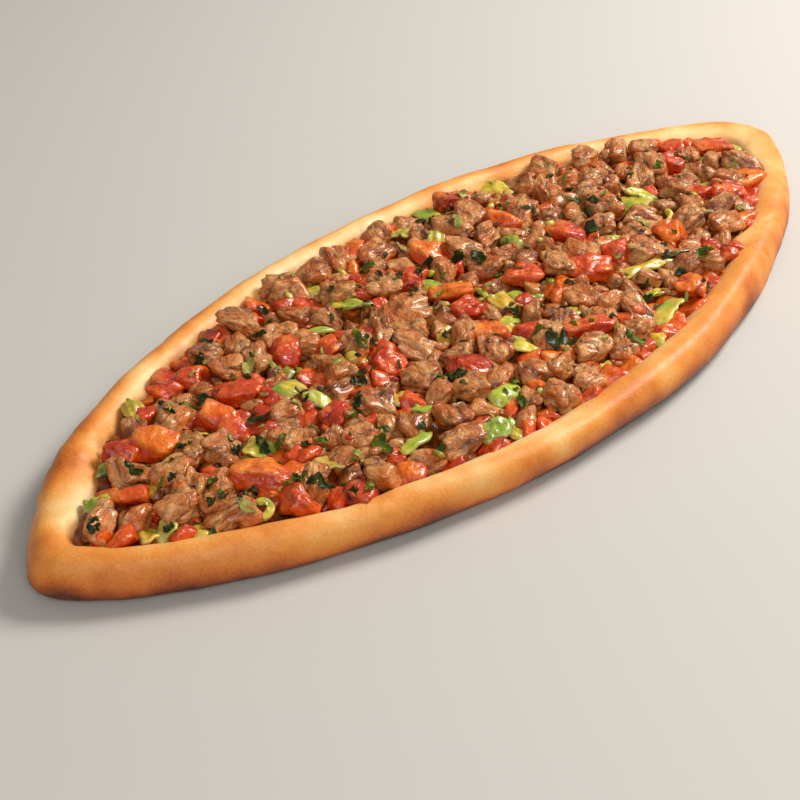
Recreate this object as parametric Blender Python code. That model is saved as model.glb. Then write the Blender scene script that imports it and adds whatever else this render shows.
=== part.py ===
# Turkish pide: a long flat bread, pointed at both ends, with a thick rolled
# rim. It holds a heap of cut meat, and pieces of tomato and green pepper lie
# on the heap. Units are metres. +X is the long way, +Y the far side, +Z up,
# and the origin is in the middle of the underside.

import math

import bmesh
import bpy
import numpy as np

# The bread: overall size and the shape of its two long sides.
LENGTH = 0.480
WIDTH = 0.1935
BARE_WIDTH = 0.197         # of the outline formula, before the dough's unevenness
NEAR_SWELL = 0.0028        # how much further out the near side (-Y) swells than the far one
NEAR_SHARPNESS = 1.80      # powers of the outline formula, near side
NEAR_FULLNESS = 0.80
FAR_SHARPNESS = 2.07       # and far side
FAR_FULLNESS = 0.715
FAR_SKEW = 0.035           # the far side is widest a little towards -X
TIP_ROUND = 0.012
STATIONS = 96              # points round the outline
TURN_STEP = 0.02           # radians, for the outline's direction

# The rim's cross-section: distances in from the widest line, and heights.
FOOT_INSET = 0.009
WIDEST_HEIGHT = 0.007
CREST_INSET = 0.0090
RIM_HEIGHT = 0.0205
RIM_WIDTH = 0.0195
FLOOR_HEIGHT = 0.0055
TIP_STRETCH = 1.25         # the rim is this much wider at the two ends
FOOT_STEPS = 3
OUTER_STEPS = 4
INNER_STEPS = 5
ROUND_LOSS = 0.42          # how fast the corner radius shrinks further in
LEAST_ROUND = 0.002

# Unevenness of hand-rolled dough. Angles run round the bread from its +X end.
WAVES_ROUND = (3, 5, 8, 13, 19)
WAVE_SCALE = 1.6
OUTLINE_WAVE = 0.0009
CREST_WAVE = 0.0011
INNER_WAVE = 0.0013
OUTLINE_SWELLS = (         # degrees, spread in radians, how much further out the bread reaches
    (18, 0.28, 0.0060),    # the blunt corner at the +X end
    (316, 0.50, 0.0026),
    (267, 0.18, -0.0028),
    (243, 0.25, -0.0015),
)
EDGE_LIFTS = (             # the same, how much higher the outer edge curls up off its bed
    (267, 0.30, 0.0045),
    (238, 0.30, 0.0020),
)
INNER_SWELLS = (           # the same, how much further in the rim reaches
    (309, 0.050, 0.0070),  # the lump of dough folded in near the +X end
    (352, 0.200, 0.0050),
    (275, 0.400, 0.0035),
    (237, 0.220, -0.0020),
    (158, 0.180, 0.0060),
)
CREST_DIPS = (             # degrees, spread in radians, how much lower the crest is
    (160, 0.110, 0.0022),  # the fold near the -X end
    (318, 0.060, 0.0012),
)

# The filling: a flat-topped core with the heap of cut meat fused on.
GAP = 0.0003
CORE_CLEARANCE = 0.0005
CORE_TOP = 0.0150
CORE_SLOPE = 0.007
MEAT_SIZES = (0.0200, 0.0170, 0.0145, 0.0115)
MEAT_TRIES = (2500, 3000, 3500, 4500)
MEAT_HEIGHT = 0.0100
MEAT_SUNK = 0.0035
MEAT_CROWDING = 0.61
MEAT_ROOM = 0.0010         # kept free round each topping and along the rim
MEAT_WIDTHS = (0.62, 0.90)
MEAT_HEIGHTS = (0.85, 1.20)
MEAT_UNEVEN = 0.25
MERGE_DISTANCE = 0.00002

# Toppings. Each has its form, its place x and y from the bare outline's middle,
# its length and width, all in millimetres, and its turn in degrees.
MM = 0.001
TOMATO_HEIGHT = 0.0065
TOMATO_HEIGHTS = (0.85, 1.15)
CUT_UNEVEN = 0.16
LUMP_POINTS = 20
LUMP_UNEVEN = 0.14
TOMATOES = (
    ("cut", -164, 23, 16, 12, -45), ("lump", -177, 29, 10, 9, 0),
    ("cut", -189, 5, 13, 8, -45), ("lump", -116, 25, 19, 11, -15),
    ("cut", -135, 16, 19, 9, -70), ("lump", -137, 50, 11, 8, 0),
    ("lump", -124, 47, 12, 8, -30), ("lump", -102, -16, 12, 10, 0),
    ("cut", -147, -22, 20, 12, -45), ("lump", -127, -23, 10, 8, 0),
    ("lump", -148, -43, 13, 9, -60), ("cut", -84, 33, 12, 11, -30),
    ("cut", -70, 22, 11, 8, 60), ("lump", -57, -3, 14, 12, -45),
    ("cut", 16, 40, 17, 13, -40), ("lump", -4, 34, 11, 9, 20),
    ("cut", -1, 14, 17, 11, -45), ("lump", 36, -1, 18, 12, -45),
    ("lump", 38, -20, 13, 11, 0), ("lump", 61, -19, 20, 11, -35),
    ("lump", 80, -22, 12, 11, 0), ("lump", 113, -27, 14, 11, 0),
    ("lump", 167, -25, 16, 12, -45), ("cut", 153, -16, 11, 9, -45),
    ("cut", 198, 7, 17, 11, -45), ("lump", 169, 16, 14, 8, -80),
    ("lump", 81, -63, 14, 10, 0), ("cut", 20, -51, 19, 9, -45),
    ("cut", -11, -22, 15, 9, -45), ("lump", -5, -3, 11, 9, 0),
    ("cut", 63, 38, 15, 10, -45), ("cut", 61, 67, 17, 8, -50),
    ("cut", 74, 9, 18, 12, -55), ("lump", -37, -33, 15, 12, -30),
)
PEPPER_THICKNESS = 0.0040
PEPPER_TAPER = 0.75
FLAP_ARCH = 0.0012
FLAP_STEPS = 4
ARC_ARCH = 0.0015
ARC_BEND = math.radians(75)
ARC_STEPS = 5
ARC_REACH = 1.9            # an arc's footprint is this much wider than the arc
RING_THICKNESS = 0.0030
RING_BEND = math.radians(290)
RING_STEPS = 9
PEPPERS = (
    ("flap", -200, 12, 12, 7, -45), ("flap", -149, 15, 12, 6, -45),
    ("flap", -136, -10, 14, 8, -60), ("ring", -159, -35, 11, 4, 30),
    ("flap", -127, -35, 14, 7, -25), ("flap", -101, 13, 12, 8, 0),
    ("flap", -98, -2, 12, 6, -60), ("arc", -65, 36, 19, 5, -45),
    ("flap", -39, 40, 16, 8, -35), ("arc", -66, -40, 23, 4, -42),
    ("flap", -40, -54, 16, 8, 5), ("flap", -61, -67, 14, 8, -20),
    ("arc", 89, -9, 15, 4, -45), ("flap", 80, -37, 27, 6, -17),
    ("ring", 124, -14, 12, 4, -35), ("flap", 133, 6, 14, 7, -70),
    ("arc", 142, -31, 18, 4, -50), ("flap", 57, -66, 20, 7, 12),
    ("flap", -9, -38, 12, 9, -30), ("flap", 12, -9, 11, 9, -20),
    ("flap", 32, 52, 10, 9, -45), ("flap", 54, 23, 12, 6, -85),
    ("arc", -89, -50, 17, 6, 8), ("flap", -154, 50, 10, 8, 20),
)

rng = np.random.default_rng(1907)


# Outline of the bread

def side_curve(along, half_width, sharpness, fullness, skew):
    """Half width of one side at each place along the length, -1 to 1."""
    shifted = along + skew * (1 - along * along)
    return half_width * np.clip(1 - np.abs(shifted) ** sharpness, 0, None) ** fullness


def bare_outline(turn, inset_x, inset_y):
    """Outline without its rounding, at the angles in turn, drawn in by the insets."""
    along = np.cos(turn)
    near_half = BARE_WIDTH / 2 + NEAR_SWELL - inset_y
    far_half = BARE_WIDTH / 2 - NEAR_SWELL - inset_y
    near = -side_curve(along, near_half, NEAR_SHARPNESS, NEAR_FULLNESS, 0.0)
    far = side_curve(along, far_half, FAR_SHARPNESS, FAR_FULLNESS, FAR_SKEW)
    across = np.where(np.sin(turn) >= 0, far, near)
    return np.stack([along * (LENGTH / 2 - inset_x), across], 1)


def outline(turn, inset, corner):
    """Closed outline drawn in by inset, with its ends rounded to the corner radius."""
    inset_x = inset * TIP_STRETCH + corner
    inset_y = inset + corner
    middle = bare_outline(turn, inset_x, inset_y)
    ahead = bare_outline(turn + TURN_STEP, inset_x, inset_y)
    behind = bare_outline(turn - TURN_STEP, inset_x, inset_y)
    tangent = ahead - behind
    normal = np.stack([tangent[:, 1], -tangent[:, 0]], 1)
    normal /= np.linalg.norm(normal, axis=1)[:, None]
    points = middle + normal * corner
    points[:, 1] += NEAR_SWELL
    return points


def even_stations():
    """Angles that space the stations evenly round the rim."""
    fine = np.linspace(0, 2 * math.pi, 3601)
    points = outline(fine, 0.0, TIP_ROUND)
    steps = np.linalg.norm(np.diff(points, axis=0), axis=1)
    distance = np.concatenate([[0.0], np.cumsum(steps)])
    wanted = np.linspace(0, distance[-1], STATIONS, endpoint=False)
    return np.interp(wanted, distance, fine)


def wave(turn, seed):
    """Smooth unevenness round the bread, between about -1 and 1."""
    draw = np.random.default_rng(seed)
    total = np.zeros_like(turn)
    for count in WAVES_ROUND:
        total += np.cos(count * turn + draw.uniform(0, 2 * math.pi)) / count ** 0.5
    return total / WAVE_SCALE


def near_place(turn, place, spread):
    """One at an angle, falling off smoothly to either side."""
    away = (turn - place + math.pi) % (2 * math.pi) - math.pi
    return np.exp(-(away / spread) ** 2)


def added_places(turn, places):
    """Sum of some smooth local changes, each given by its angle, spread and amount."""
    return sum(amount * near_place(turn, math.radians(place), spread) for place, spread, amount in places)


TURN = even_stations()


def uneven_ring(inset, extra=0.0):
    """Outline at an inset, with the dough's unevenness, not yet trued to size."""
    outer = 1 - min(inset / RIM_WIDTH, 1.0)
    inner = max(inset - CREST_INSET, 0.0) / (RIM_WIDTH - CREST_INSET)
    out_swell = OUTLINE_WAVE * (1 - wave(TURN, 3)) - added_places(TURN, OUTLINE_SWELLS)
    in_swell = INNER_WAVE * wave(TURN, 5) + added_places(TURN, INNER_SWELLS)
    uneven = out_swell * outer + in_swell * inner
    corner = max(TIP_ROUND - inset * ROUND_LOSS, LEAST_ROUND)
    return outline(TURN, inset + extra + uneven, corner)


WIDEST = uneven_ring(0.0)
MIDDLE = (WIDEST.max(0) + WIDEST.min(0)) / 2
TRUE_SIZE = (LENGTH, WIDTH) / (WIDEST.max(0) - WIDEST.min(0))


def rim_ring(inset, height, extra=0.0):
    """Ring of the rim's surface at an inset and height, centred and trued to size."""
    raised = max(height - WIDEST_HEIGHT, 0.0) / (RIM_HEIGHT - WIDEST_HEIGHT)
    flat = (uneven_ring(inset, extra) - MIDDLE) * TRUE_SIZE
    rise = CREST_WAVE * wave(TURN, 7) - added_places(TURN, CREST_DIPS)
    curl = added_places(TURN, EDGE_LIFTS) * max(1 - inset / CREST_INSET, 0.0) ** 2
    level = height + rise * raised ** 2 + curl
    return np.column_stack([flat, level])


def rim_profile():
    """Insets and heights round the rim, from its foot outside to its foot inside."""
    profile = []
    for angle in np.linspace(0, math.pi / 2, FOOT_STEPS + 1):
        profile.append((FOOT_INSET * (1 - math.sin(angle)), WIDEST_HEIGHT * (1 - math.cos(angle))))
    for angle in np.linspace(0, math.pi / 2, OUTER_STEPS + 1)[1:]:
        height = WIDEST_HEIGHT + (RIM_HEIGHT - WIDEST_HEIGHT) * math.sin(angle)
        profile.append((CREST_INSET * (1 - math.cos(angle)), height))
    for angle in np.linspace(0, math.pi / 2, INNER_STEPS + 1)[1:]:
        inset = CREST_INSET + (RIM_WIDTH - CREST_INSET) * math.sin(angle)
        profile.append((inset, FLOOR_HEIGHT + (RIM_HEIGHT - FLOOR_HEIGHT) * math.cos(angle)))
    return profile


# Solids and materials

def material(name, colour, roughness):
    """Plain food material in one colour."""
    made = bpy.data.materials.new(name)
    made.use_nodes = True
    shader = made.node_tree.nodes["Principled BSDF"]
    shader.inputs["Base Color"].default_value = (*colour, 1.0)
    shader.inputs["Roughness"].default_value = roughness
    shader.inputs["Metallic"].default_value = 0.0
    return made


def add_object(name, mesh, collection, look=None):
    """Object of a mesh in a collection, with its material."""
    made = bpy.data.objects.new(name, mesh)
    collection.objects.link(made)
    if look:
        mesh.materials.append(look)
    return made


def loft(name, rings):
    """Closed mesh through rings of equally many points, capped at both ends."""
    shape = bmesh.new()
    rows = [[shape.verts.new(point) for point in ring] for ring in rings]
    for below, above in zip(rows, rows[1:]):
        for one in range(len(below)):
            other = (one + 1) % len(below)
            shape.faces.new((below[one], below[other], above[other], above[one]))
    shape.faces.new(rows[0][::-1])
    shape.faces.new(rows[-1])
    bmesh.ops.recalc_face_normals(shape, faces=shape.faces)
    mesh = bpy.data.meshes.new(name)
    shape.to_mesh(mesh)
    shape.free()
    return mesh


def hull(name, points):
    """Closed mesh of the convex hull round some points."""
    shape = bmesh.new()
    for point in points:
        shape.verts.new(point)
    made = bmesh.ops.convex_hull(shape, input=shape.verts)
    unused = [item for item in made["geom_interior"] if isinstance(item, bmesh.types.BMVert)]
    bmesh.ops.delete(shape, geom=unused, context="VERTS")
    bmesh.ops.recalc_face_normals(shape, faces=shape.faces)
    mesh = bpy.data.meshes.new(name)
    shape.to_mesh(mesh)
    shape.free()
    return mesh


def turned(points, degrees):
    """Points turned about the vertical."""
    angle = math.radians(degrees)
    across = np.array([[math.cos(angle), -math.sin(angle)], [math.sin(angle), math.cos(angle)]])
    result = np.array(points, float)
    result[:, :2] = result[:, :2] @ across.T
    return result


# Forms of the pieces

def torn_block(length, width, height, uneven):
    """Points of an uneven block: its eight corners, and a bulge on its top and two sides."""
    points = []
    for x in (-1, 1):
        for y in (-1, 1):
            for z in (-1, 1):
                pull = rng.uniform(1 - uneven, 1.0, 3)
                points.append((x * pull[0] * length / 2, y * pull[1] * width / 2, z * pull[2] * height / 2))
    for axis, way in ((0, 1), (1, -1), (2, 1)):
        place = rng.uniform(-0.25, 0.25, 3) * (length, width, height)
        place[axis] = way * (length, width, height)[axis] / 2
        points.append(tuple(place))
    return np.array(points)


def soft_lump(length, width, height):
    """Points of a rounded uneven lump, spread evenly over an ellipsoid by a spiral."""
    number = np.arange(LUMP_POINTS) + 0.5
    level = 1 - 2 * number / LUMP_POINTS
    spin = number * math.pi * (3 - math.sqrt(5))
    flat = np.sqrt(1 - level * level)
    ball = np.stack([np.cos(spin) * flat, np.sin(spin) * flat, level], 1)
    ball *= rng.uniform(1 - LUMP_UNEVEN, 1.0, (LUMP_POINTS, 1))
    return ball * (length / 2, width / 2, height / 2)


def bent_bar(length, width, height, bend, arch, steps):
    """Rings of a flat bar bent sideways by an angle and arched upwards in the middle."""
    rings = []
    for place in np.linspace(-0.5, 0.5, steps + 1):
        angle = bend * place
        if bend:
            centre = np.array([math.sin(angle), 1 - math.cos(angle)]) * length / bend
        else:
            centre = np.array([length * place, 0.0])
        across = np.array([-math.sin(angle), math.cos(angle)])
        half = width / 2 * (1 - PEPPER_TAPER * abs(2 * place) ** 3)
        level = arch * (1 - (2 * place) ** 2)
        ring = []
        for out, up in ((-1, 0), (1, 0), (0.8, 1), (-0.8, 1)):
            ring.append((*(centre + across * half * out), level + height * up))
        rings.append(ring)
    return rings


def place_rings(rings, x, y, turn, base):
    """Rings turned and moved so that their lowest point is at the base height."""
    placed = [turned(ring, turn) for ring in rings]
    every = np.concatenate(placed)
    middle = (every.max(0) + every.min(0)) / 2
    shift = (x - middle[0], y - middle[1], base - every[:, 2].min())
    return [ring + shift for ring in placed]


# The bread and its filling

def add_crust(collection):
    """The bread: floor, rolled rim and flat underside in one solid."""
    rings = [rim_ring(inset, height) for inset, height in rim_profile()]
    look = material("baked dough", (0.65, 0.31, 0.09), 0.55)
    mesh = loft("crust", rings)
    made = add_object("crust", mesh, collection, look)
    mesh.shade_smooth()
    mesh.set_sharp_from_angle(angle=math.radians(50))
    return made


def core_rings():
    """Rings of the filling's core, from its underside up the rim's wall to its flat top."""
    wall = rim_profile()[-3:][::-1]
    rings = [rim_ring(inset, height, CORE_CLEARANCE) for inset, height in wall]
    rings[0][:, 2] += GAP
    top = rim_ring(wall[-1][0], CORE_TOP, CORE_CLEARANCE + CORE_SLOPE)
    top[:, 2] = CORE_TOP
    return rings + [top]


def wall_distance(points, edge):
    """Distances from some places to a closed outline, less than zero outside it."""
    ahead = np.roll(edge, -1, axis=0)
    run = ahead - edge
    away = points[:, None] - edge[None]
    share = np.clip((away * run).sum(2) / (run * run).sum(1), 0, 1)
    nearest = np.linalg.norm(away - share[..., None] * run, axis=2).min(1)
    level = points[:, 1:2]
    crossed = (edge[:, 1] > level) != (ahead[:, 1] > level)
    slope = run[:, 0] / np.where(run[:, 1] == 0, 1, run[:, 1])
    crossing = edge[:, 0] + (level - edge[:, 1]) * slope
    inside = (crossed & (crossing > points[:, :1])).sum(1) % 2 == 1
    return np.where(inside, nearest, -nearest)


def topping_place(x, y):
    """Place of a topping, from its millimetres from the bare outline's middle."""
    return np.array([x, y]) * MM - MIDDLE


def topping_distance(points, topping):
    """Distances from some places to a topping's footprint, an oblong, a round or a rounded strip."""
    form, x, y, length, width, turn = topping
    angle = math.radians(turn)
    away = points - topping_place(x, y)
    along = np.abs(away @ (math.cos(angle), math.sin(angle)))
    across = np.abs(away @ (-math.sin(angle), math.cos(angle)))
    half_long = length * MM / 2
    half_wide = width * MM / 2
    if form == "ring":
        return np.hypot(along, across) - half_long - RING_THICKNESS / 3
    if form == "cut":
        return np.hypot(np.maximum(along - half_long, 0), np.maximum(across - half_wide, 0))
    straight = max(half_long - half_wide, 0)
    reach = half_wide * ARC_REACH if form == "arc" else half_wide
    return np.hypot(np.maximum(along - straight, 0), across) - reach


def footprint(block):
    """Places of a block's footprint: five along each of its sides, as many halfway in, and its middle."""
    corners = block[[0, 4, 6, 2], :2]
    ahead = np.roll(corners, -1, axis=0)
    sides = np.concatenate([corners + (ahead - corners) * share for share in (0, 0.2, 0.4, 0.6, 0.8)])
    middle = corners.mean(0, keepdims=True)
    return np.concatenate([sides, (sides + middle) / 2, middle])


def meat_blocks():
    """The meat: blocks thrown at random over the core and kept where there is room."""
    edge = core_rings()[-2][:, :2]
    toppings = TOMATOES + PEPPERS
    kept = []
    blocks = []
    for size, tries in zip(MEAT_SIZES, MEAT_TRIES):
        for throw in range(tries):
            place = rng.uniform((-LENGTH / 2, -WIDTH / 2), (LENGTH / 2, WIDTH / 2))
            if wall_distance(place[None], edge)[0] < size / 3:
                continue
            if any(math.dist(place, other) < MEAT_CROWDING * (size + other_size) / 2
                   for other, other_size in kept):
                continue
            height = MEAT_HEIGHT * rng.uniform(*MEAT_HEIGHTS) * (size / MEAT_SIZES[1]) ** 0.5
            block = torn_block(size, size * rng.uniform(*MEAT_WIDTHS), height, MEAT_UNEVEN)
            block = turned(block, rng.uniform(0, 360))
            block += (*place, CORE_TOP - MEAT_SUNK + height / 2)
            foot = footprint(block)
            if wall_distance(foot, edge).min() < MEAT_ROOM:
                continue
            if min(topping_distance(foot, topping).min() for topping in toppings) < MEAT_ROOM:
                continue
            kept.append((place, size))
            blocks.append(block)
    return blocks


def add_filling(collection):
    """The heap: cut meat fused on its core by one union."""
    look = material("cooked meat", (0.27, 0.12, 0.06), 0.4)
    core = add_object("filling", loft("filling", core_rings()), collection, look)
    pieces = bpy.data.collections.new("meat pieces")
    bpy.context.scene.collection.children.link(pieces)
    for block in meat_blocks():
        add_object("meat", hull("meat", block), pieces)
    join = core.modifiers.new("join", "BOOLEAN")
    join.operation = "UNION"
    join.operand_type = "COLLECTION"
    join.collection = pieces
    join.solver = "EXACT"
    bpy.context.view_layer.update()
    evaluated = core.evaluated_get(bpy.context.evaluated_depsgraph_get())
    joined = bpy.data.meshes.new_from_object(evaluated)
    core.modifiers.clear()
    core.data = joined
    for piece in list(pieces.objects):
        bpy.data.objects.remove(piece)
    bpy.data.collections.remove(pieces)
    keep_main_body(joined)
    return core


def keep_main_body(mesh):
    """Merge slivers, and drop loose scraps and the walls of sealed hollows."""
    shape = bmesh.new()
    shape.from_mesh(mesh)
    bmesh.ops.remove_doubles(shape, verts=shape.verts, dist=MERGE_DISTANCE)
    waiting = set(shape.faces)
    bodies = []
    while waiting:
        body = []
        front = [waiting.pop()]
        while front:
            face = front.pop()
            body.append(face)
            for edge in face.edges:
                for other in edge.link_faces:
                    if other in waiting:
                        waiting.discard(other)
                        front.append(other)
        bodies.append(body)
    bodies.sort(key=len)
    for body in bodies[:-1]:
        bmesh.ops.delete(shape, geom=body, context="FACES")
    shape.to_mesh(mesh)
    shape.free()


# The toppings

def add_tomatoes(collection):
    """Cut squares with flat tops, and softer lumps, lying on the core."""
    base = CORE_TOP + GAP
    for number, (form, x, y, length, width, turn) in enumerate(TOMATOES, 1):
        name = f"tomato_{number:02d}"
        size = (length * MM, width * MM, TOMATO_HEIGHT * rng.uniform(*TOMATO_HEIGHTS))
        points = torn_block(*size, CUT_UNEVEN) if form == "cut" else soft_lump(*size)
        points = turned(points, turn)
        points += (*topping_place(x, y), base - points[:, 2].min())
        look = material(name, (0.51, 0.05, 0.02), 0.3)
        add_object(name, hull(name, points), collection, look)


def add_peppers(collection):
    """Flaps, arcs and open rings of green pepper lying on the core."""
    base = CORE_TOP + GAP
    for number, (form, x, y, length, width, turn) in enumerate(PEPPERS, 1):
        name = f"pepper_{number:02d}"
        long = length * MM
        wide = width * MM
        if form == "ring":
            round_length = RING_BEND / 2 * (long - wide)
            rings = bent_bar(round_length, wide * 0.7, RING_THICKNESS, RING_BEND, 0.0, RING_STEPS)
        elif form == "arc":
            rings = bent_bar(long, wide * 0.8, PEPPER_THICKNESS, ARC_BEND, ARC_ARCH, ARC_STEPS)
        else:
            rings = bent_bar(long, wide, PEPPER_THICKNESS, 0.0, FLAP_ARCH, FLAP_STEPS)
        look = material(name, (0.36, 0.42, 0.05), 0.35)
        placed = place_rings(rings, *topping_place(x, y), turn, base)
        add_object(name, loft(name, placed), collection, look)


def main():
    """Build the whole pide."""
    for old in list(bpy.data.objects):
        bpy.data.objects.remove(old)
    collection = bpy.data.collections.new("turkish pide")
    bpy.context.scene.collection.children.link(collection)
    add_crust(collection)
    add_filling(collection)
    add_tomatoes(collection)
    add_peppers(collection)


main()
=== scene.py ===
# A Turkish pide as it comes from the oven: a long flat bread with a rolled rim, holding a heap of
# cut meat, diced tomato and green pepper, with wilted parsley over it. All sizes are in metres.

import math

import bpy
import numpy as np
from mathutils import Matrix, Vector


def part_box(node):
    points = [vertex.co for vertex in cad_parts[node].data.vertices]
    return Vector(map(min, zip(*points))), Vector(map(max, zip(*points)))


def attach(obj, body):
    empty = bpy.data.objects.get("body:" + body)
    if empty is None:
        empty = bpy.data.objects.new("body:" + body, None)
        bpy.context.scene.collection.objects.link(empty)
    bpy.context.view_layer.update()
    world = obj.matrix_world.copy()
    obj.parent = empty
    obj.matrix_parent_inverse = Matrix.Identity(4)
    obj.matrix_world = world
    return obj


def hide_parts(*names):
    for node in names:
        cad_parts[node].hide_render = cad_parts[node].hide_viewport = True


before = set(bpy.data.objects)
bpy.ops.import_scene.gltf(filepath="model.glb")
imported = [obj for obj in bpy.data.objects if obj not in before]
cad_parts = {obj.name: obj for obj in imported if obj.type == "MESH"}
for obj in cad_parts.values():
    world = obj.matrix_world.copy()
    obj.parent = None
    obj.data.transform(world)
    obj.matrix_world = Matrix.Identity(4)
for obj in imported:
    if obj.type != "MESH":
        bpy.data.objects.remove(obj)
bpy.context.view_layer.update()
MM = 0.001


# The bread
# One piece of soft dough, rolled up all round its edge and pinched at both ends, then baked on a
# hot stone. The crest and the outer wall take the most colour and the inner wall stays pale. The
# outer wall darkens towards its foot, partly from browning and partly as painted shade.

BREAD_LENGTH = 0.480
BREAD_WIDTH = 0.1935
BARE_WIDTH = 0.197
NEAR_SWELL = 0.0028
NEAR_SHARPNESS = 1.80
NEAR_FULLNESS = 0.80
FAR_SHARPNESS = 2.07
FAR_FULLNESS = 0.715
FAR_SKEW = 0.035
TIP_ROUND = 0.012
TIP_STRETCH = 1.25
ROUND_LOSS = 0.42
LEAST_ROUND = 0.002
TURN_STEP = 0.02
STATIONS = 1440

FOOT_INSET = 0.009
WIDEST_HEIGHT = 0.007
CREST_INSET = 0.009
RIM_HEIGHT = 0.0205
RIM_WIDTH = 0.0195
FLOOR_HEIGHT = 0.0055
FOOT_ROWS = 9
OUTER_ROWS = 20
INNER_ROWS = 17
UNDER_COLUMNS = 10

WAVES_ROUND = (3, 5, 8, 13, 19)
WAVE_SCALE = 1.6
OUTLINE_WAVE = 0.0009
CREST_WAVE = 0.0011
INNER_WAVE = 0.0013
OUTLINE_SWELLS = ((18, 0.28, 0.0060), (316, 0.50, 0.0026), (267, 0.18, -0.0028), (243, 0.25, -0.0015))
EDGE_LIFTS = ((267, 0.30, 0.0045), (238, 0.30, 0.0020))
INNER_SWELLS = ((309, 0.050, 0.0070), (352, 0.200, 0.0050), (275, 0.400, 0.0035), (237, 0.220, -0.0020),
                (158, 0.180, 0.0060))
CREST_DIPS = ((160, 0.110, 0.0022), (318, 0.060, 0.0012))


def side_curve(along, half_width, sharpness, fullness, skew):
    """Half width of one side: one less the length to a power, all to another power."""
    shifted = along + skew * (1 - along * along)
    return half_width * np.clip(1 - np.abs(shifted) ** sharpness, 0, None) ** fullness


def bare_outline(turn, inset_x, inset_y):
    """Outline at the angles in turn, near curve below and far curve above, drawn in by the insets."""
    along = np.cos(turn)
    near = -side_curve(along, BARE_WIDTH / 2 + NEAR_SWELL - inset_y, NEAR_SHARPNESS, NEAR_FULLNESS, 0.0)
    far = side_curve(along, BARE_WIDTH / 2 - NEAR_SWELL - inset_y, FAR_SHARPNESS, FAR_FULLNESS, FAR_SKEW)
    across = np.where(np.sin(turn) >= 0, far, near)
    return np.stack([along * (BREAD_LENGTH / 2 - inset_x), across], -1)


def outline(turn, inset):
    """Bare outline drawn in by the inset and a corner radius, then moved out by that radius."""
    corner = np.maximum(TIP_ROUND - inset * ROUND_LOSS, LEAST_ROUND)
    inset_x = inset * TIP_STRETCH + corner
    inset_y = inset + corner
    ahead = bare_outline(turn + TURN_STEP, inset_x, inset_y)
    tangent = ahead - bare_outline(turn - TURN_STEP, inset_x, inset_y)
    normal = np.stack([tangent[..., 1], -tangent[..., 0]], -1)
    normal /= np.linalg.norm(normal, axis=-1, keepdims=True)
    points = bare_outline(turn, inset_x, inset_y) + normal * corner[..., None]
    points[..., 1] += NEAR_SWELL
    return points


def even_turns(count):
    """Angles that space a number of stations evenly along the widest outline."""
    fine = np.linspace(0, 2 * math.pi, 7201)
    points = outline(fine, np.zeros_like(fine))
    distance = np.concatenate([[0.0], np.cumsum(np.linalg.norm(np.diff(points, axis=0), axis=1))])
    return np.interp(np.linspace(0, distance[-1], count, endpoint=False), distance, fine)


def wave(turn, seed):
    """Smooth unevenness round the bread: a few cosines with drawn phases."""
    draw = np.random.default_rng(seed)
    swing = [np.cos(count * turn + draw.uniform(0, 2 * math.pi)) / count ** 0.5 for count in WAVES_ROUND]
    return sum(swing) / WAVE_SCALE


def added_places(turn, places):
    """Sum of smooth local changes, each a bell curve round its angle in degrees."""
    total = np.zeros_like(turn)
    for place, spread, amount in places:
        away = (turn - math.radians(place) + math.pi) % (2 * math.pi) - math.pi
        total += amount * np.exp(-(away / spread) ** 2)
    return total


def uneven_outline(turn, inset, further=0.0):
    """Outline at an inset; the swells of the outer wall fade inwards, those of the inner wall outwards."""
    outer = 1 - np.clip(inset / RIM_WIDTH, 0, 1)
    inner = np.clip((inset - CREST_INSET) / (RIM_WIDTH - CREST_INSET), 0, None)
    out_swell = OUTLINE_WAVE * (1 - wave(turn, 3)) - added_places(turn, OUTLINE_SWELLS)
    in_swell = INNER_WAVE * wave(turn, 5) + added_places(turn, INNER_SWELLS)
    return outline(turn + 0 * inset, inset + further + out_swell * outer + in_swell * inner)


TURN = even_turns(STATIONS)
WIDEST = uneven_outline(TURN, np.zeros(1))
MIDDLE = (WIDEST.max(0) + WIDEST.min(0)) / 2
TRUE_SIZE = (BREAD_LENGTH, BREAD_WIDTH) / (WIDEST.max(0) - WIDEST.min(0))


def rim_points(turn, inset, height, further=0.0):
    """Points of the rim's surface: the outline at an inset, at a height that waves, dips and curls up."""
    raised = np.clip((height - WIDEST_HEIGHT) / (RIM_HEIGHT - WIDEST_HEIGHT), 0, None)
    flat = (uneven_outline(turn, inset, further) - MIDDLE) * TRUE_SIZE
    rise = CREST_WAVE * wave(turn, 7) - added_places(turn, CREST_DIPS)
    curl = added_places(turn, EDGE_LIFTS) * np.clip(1 - inset / CREST_INSET, 0, None) ** 2
    return np.concatenate([flat, (height + rise * raised ** 2 + curl)[..., None]], -1)


def rim_section():
    """Insets and heights round the rim: a quarter ellipse each for foot, outer wall and inner wall."""
    foot = np.linspace(0, math.pi / 2, FOOT_ROWS + 1)
    outer = np.linspace(0, math.pi / 2, OUTER_ROWS + 1)[1:]
    inner = np.linspace(0, math.pi / 2, INNER_ROWS + 1)[1:]
    inset = np.concatenate([FOOT_INSET * (1 - np.sin(foot)), CREST_INSET * (1 - np.cos(outer)),
                            CREST_INSET + (RIM_WIDTH - CREST_INSET) * np.sin(inner)])
    height = np.concatenate([WIDEST_HEIGHT * (1 - np.cos(foot)),
                             WIDEST_HEIGHT + (RIM_HEIGHT - WIDEST_HEIGHT) * np.sin(outer),
                             FLOOR_HEIGHT + (RIM_HEIGHT - FLOOR_HEIGHT) * np.cos(inner)])
    return inset[:, None], height[:, None]


NOISE_COUNT = 8192
NOISE_STEPS = (73856093, 19349663, 83492791)
NOISE_SHIFT = 500
SEED_SHIFT = 13.7
NOISE_GAIN = 1.5
NOISE_VALUES = np.random.default_rng(31).uniform(-1, 1, NOISE_COUNT)
NOISE_TURN = np.linalg.qr(np.random.default_rng(32).normal(size=(3, 3)))[0]


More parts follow.
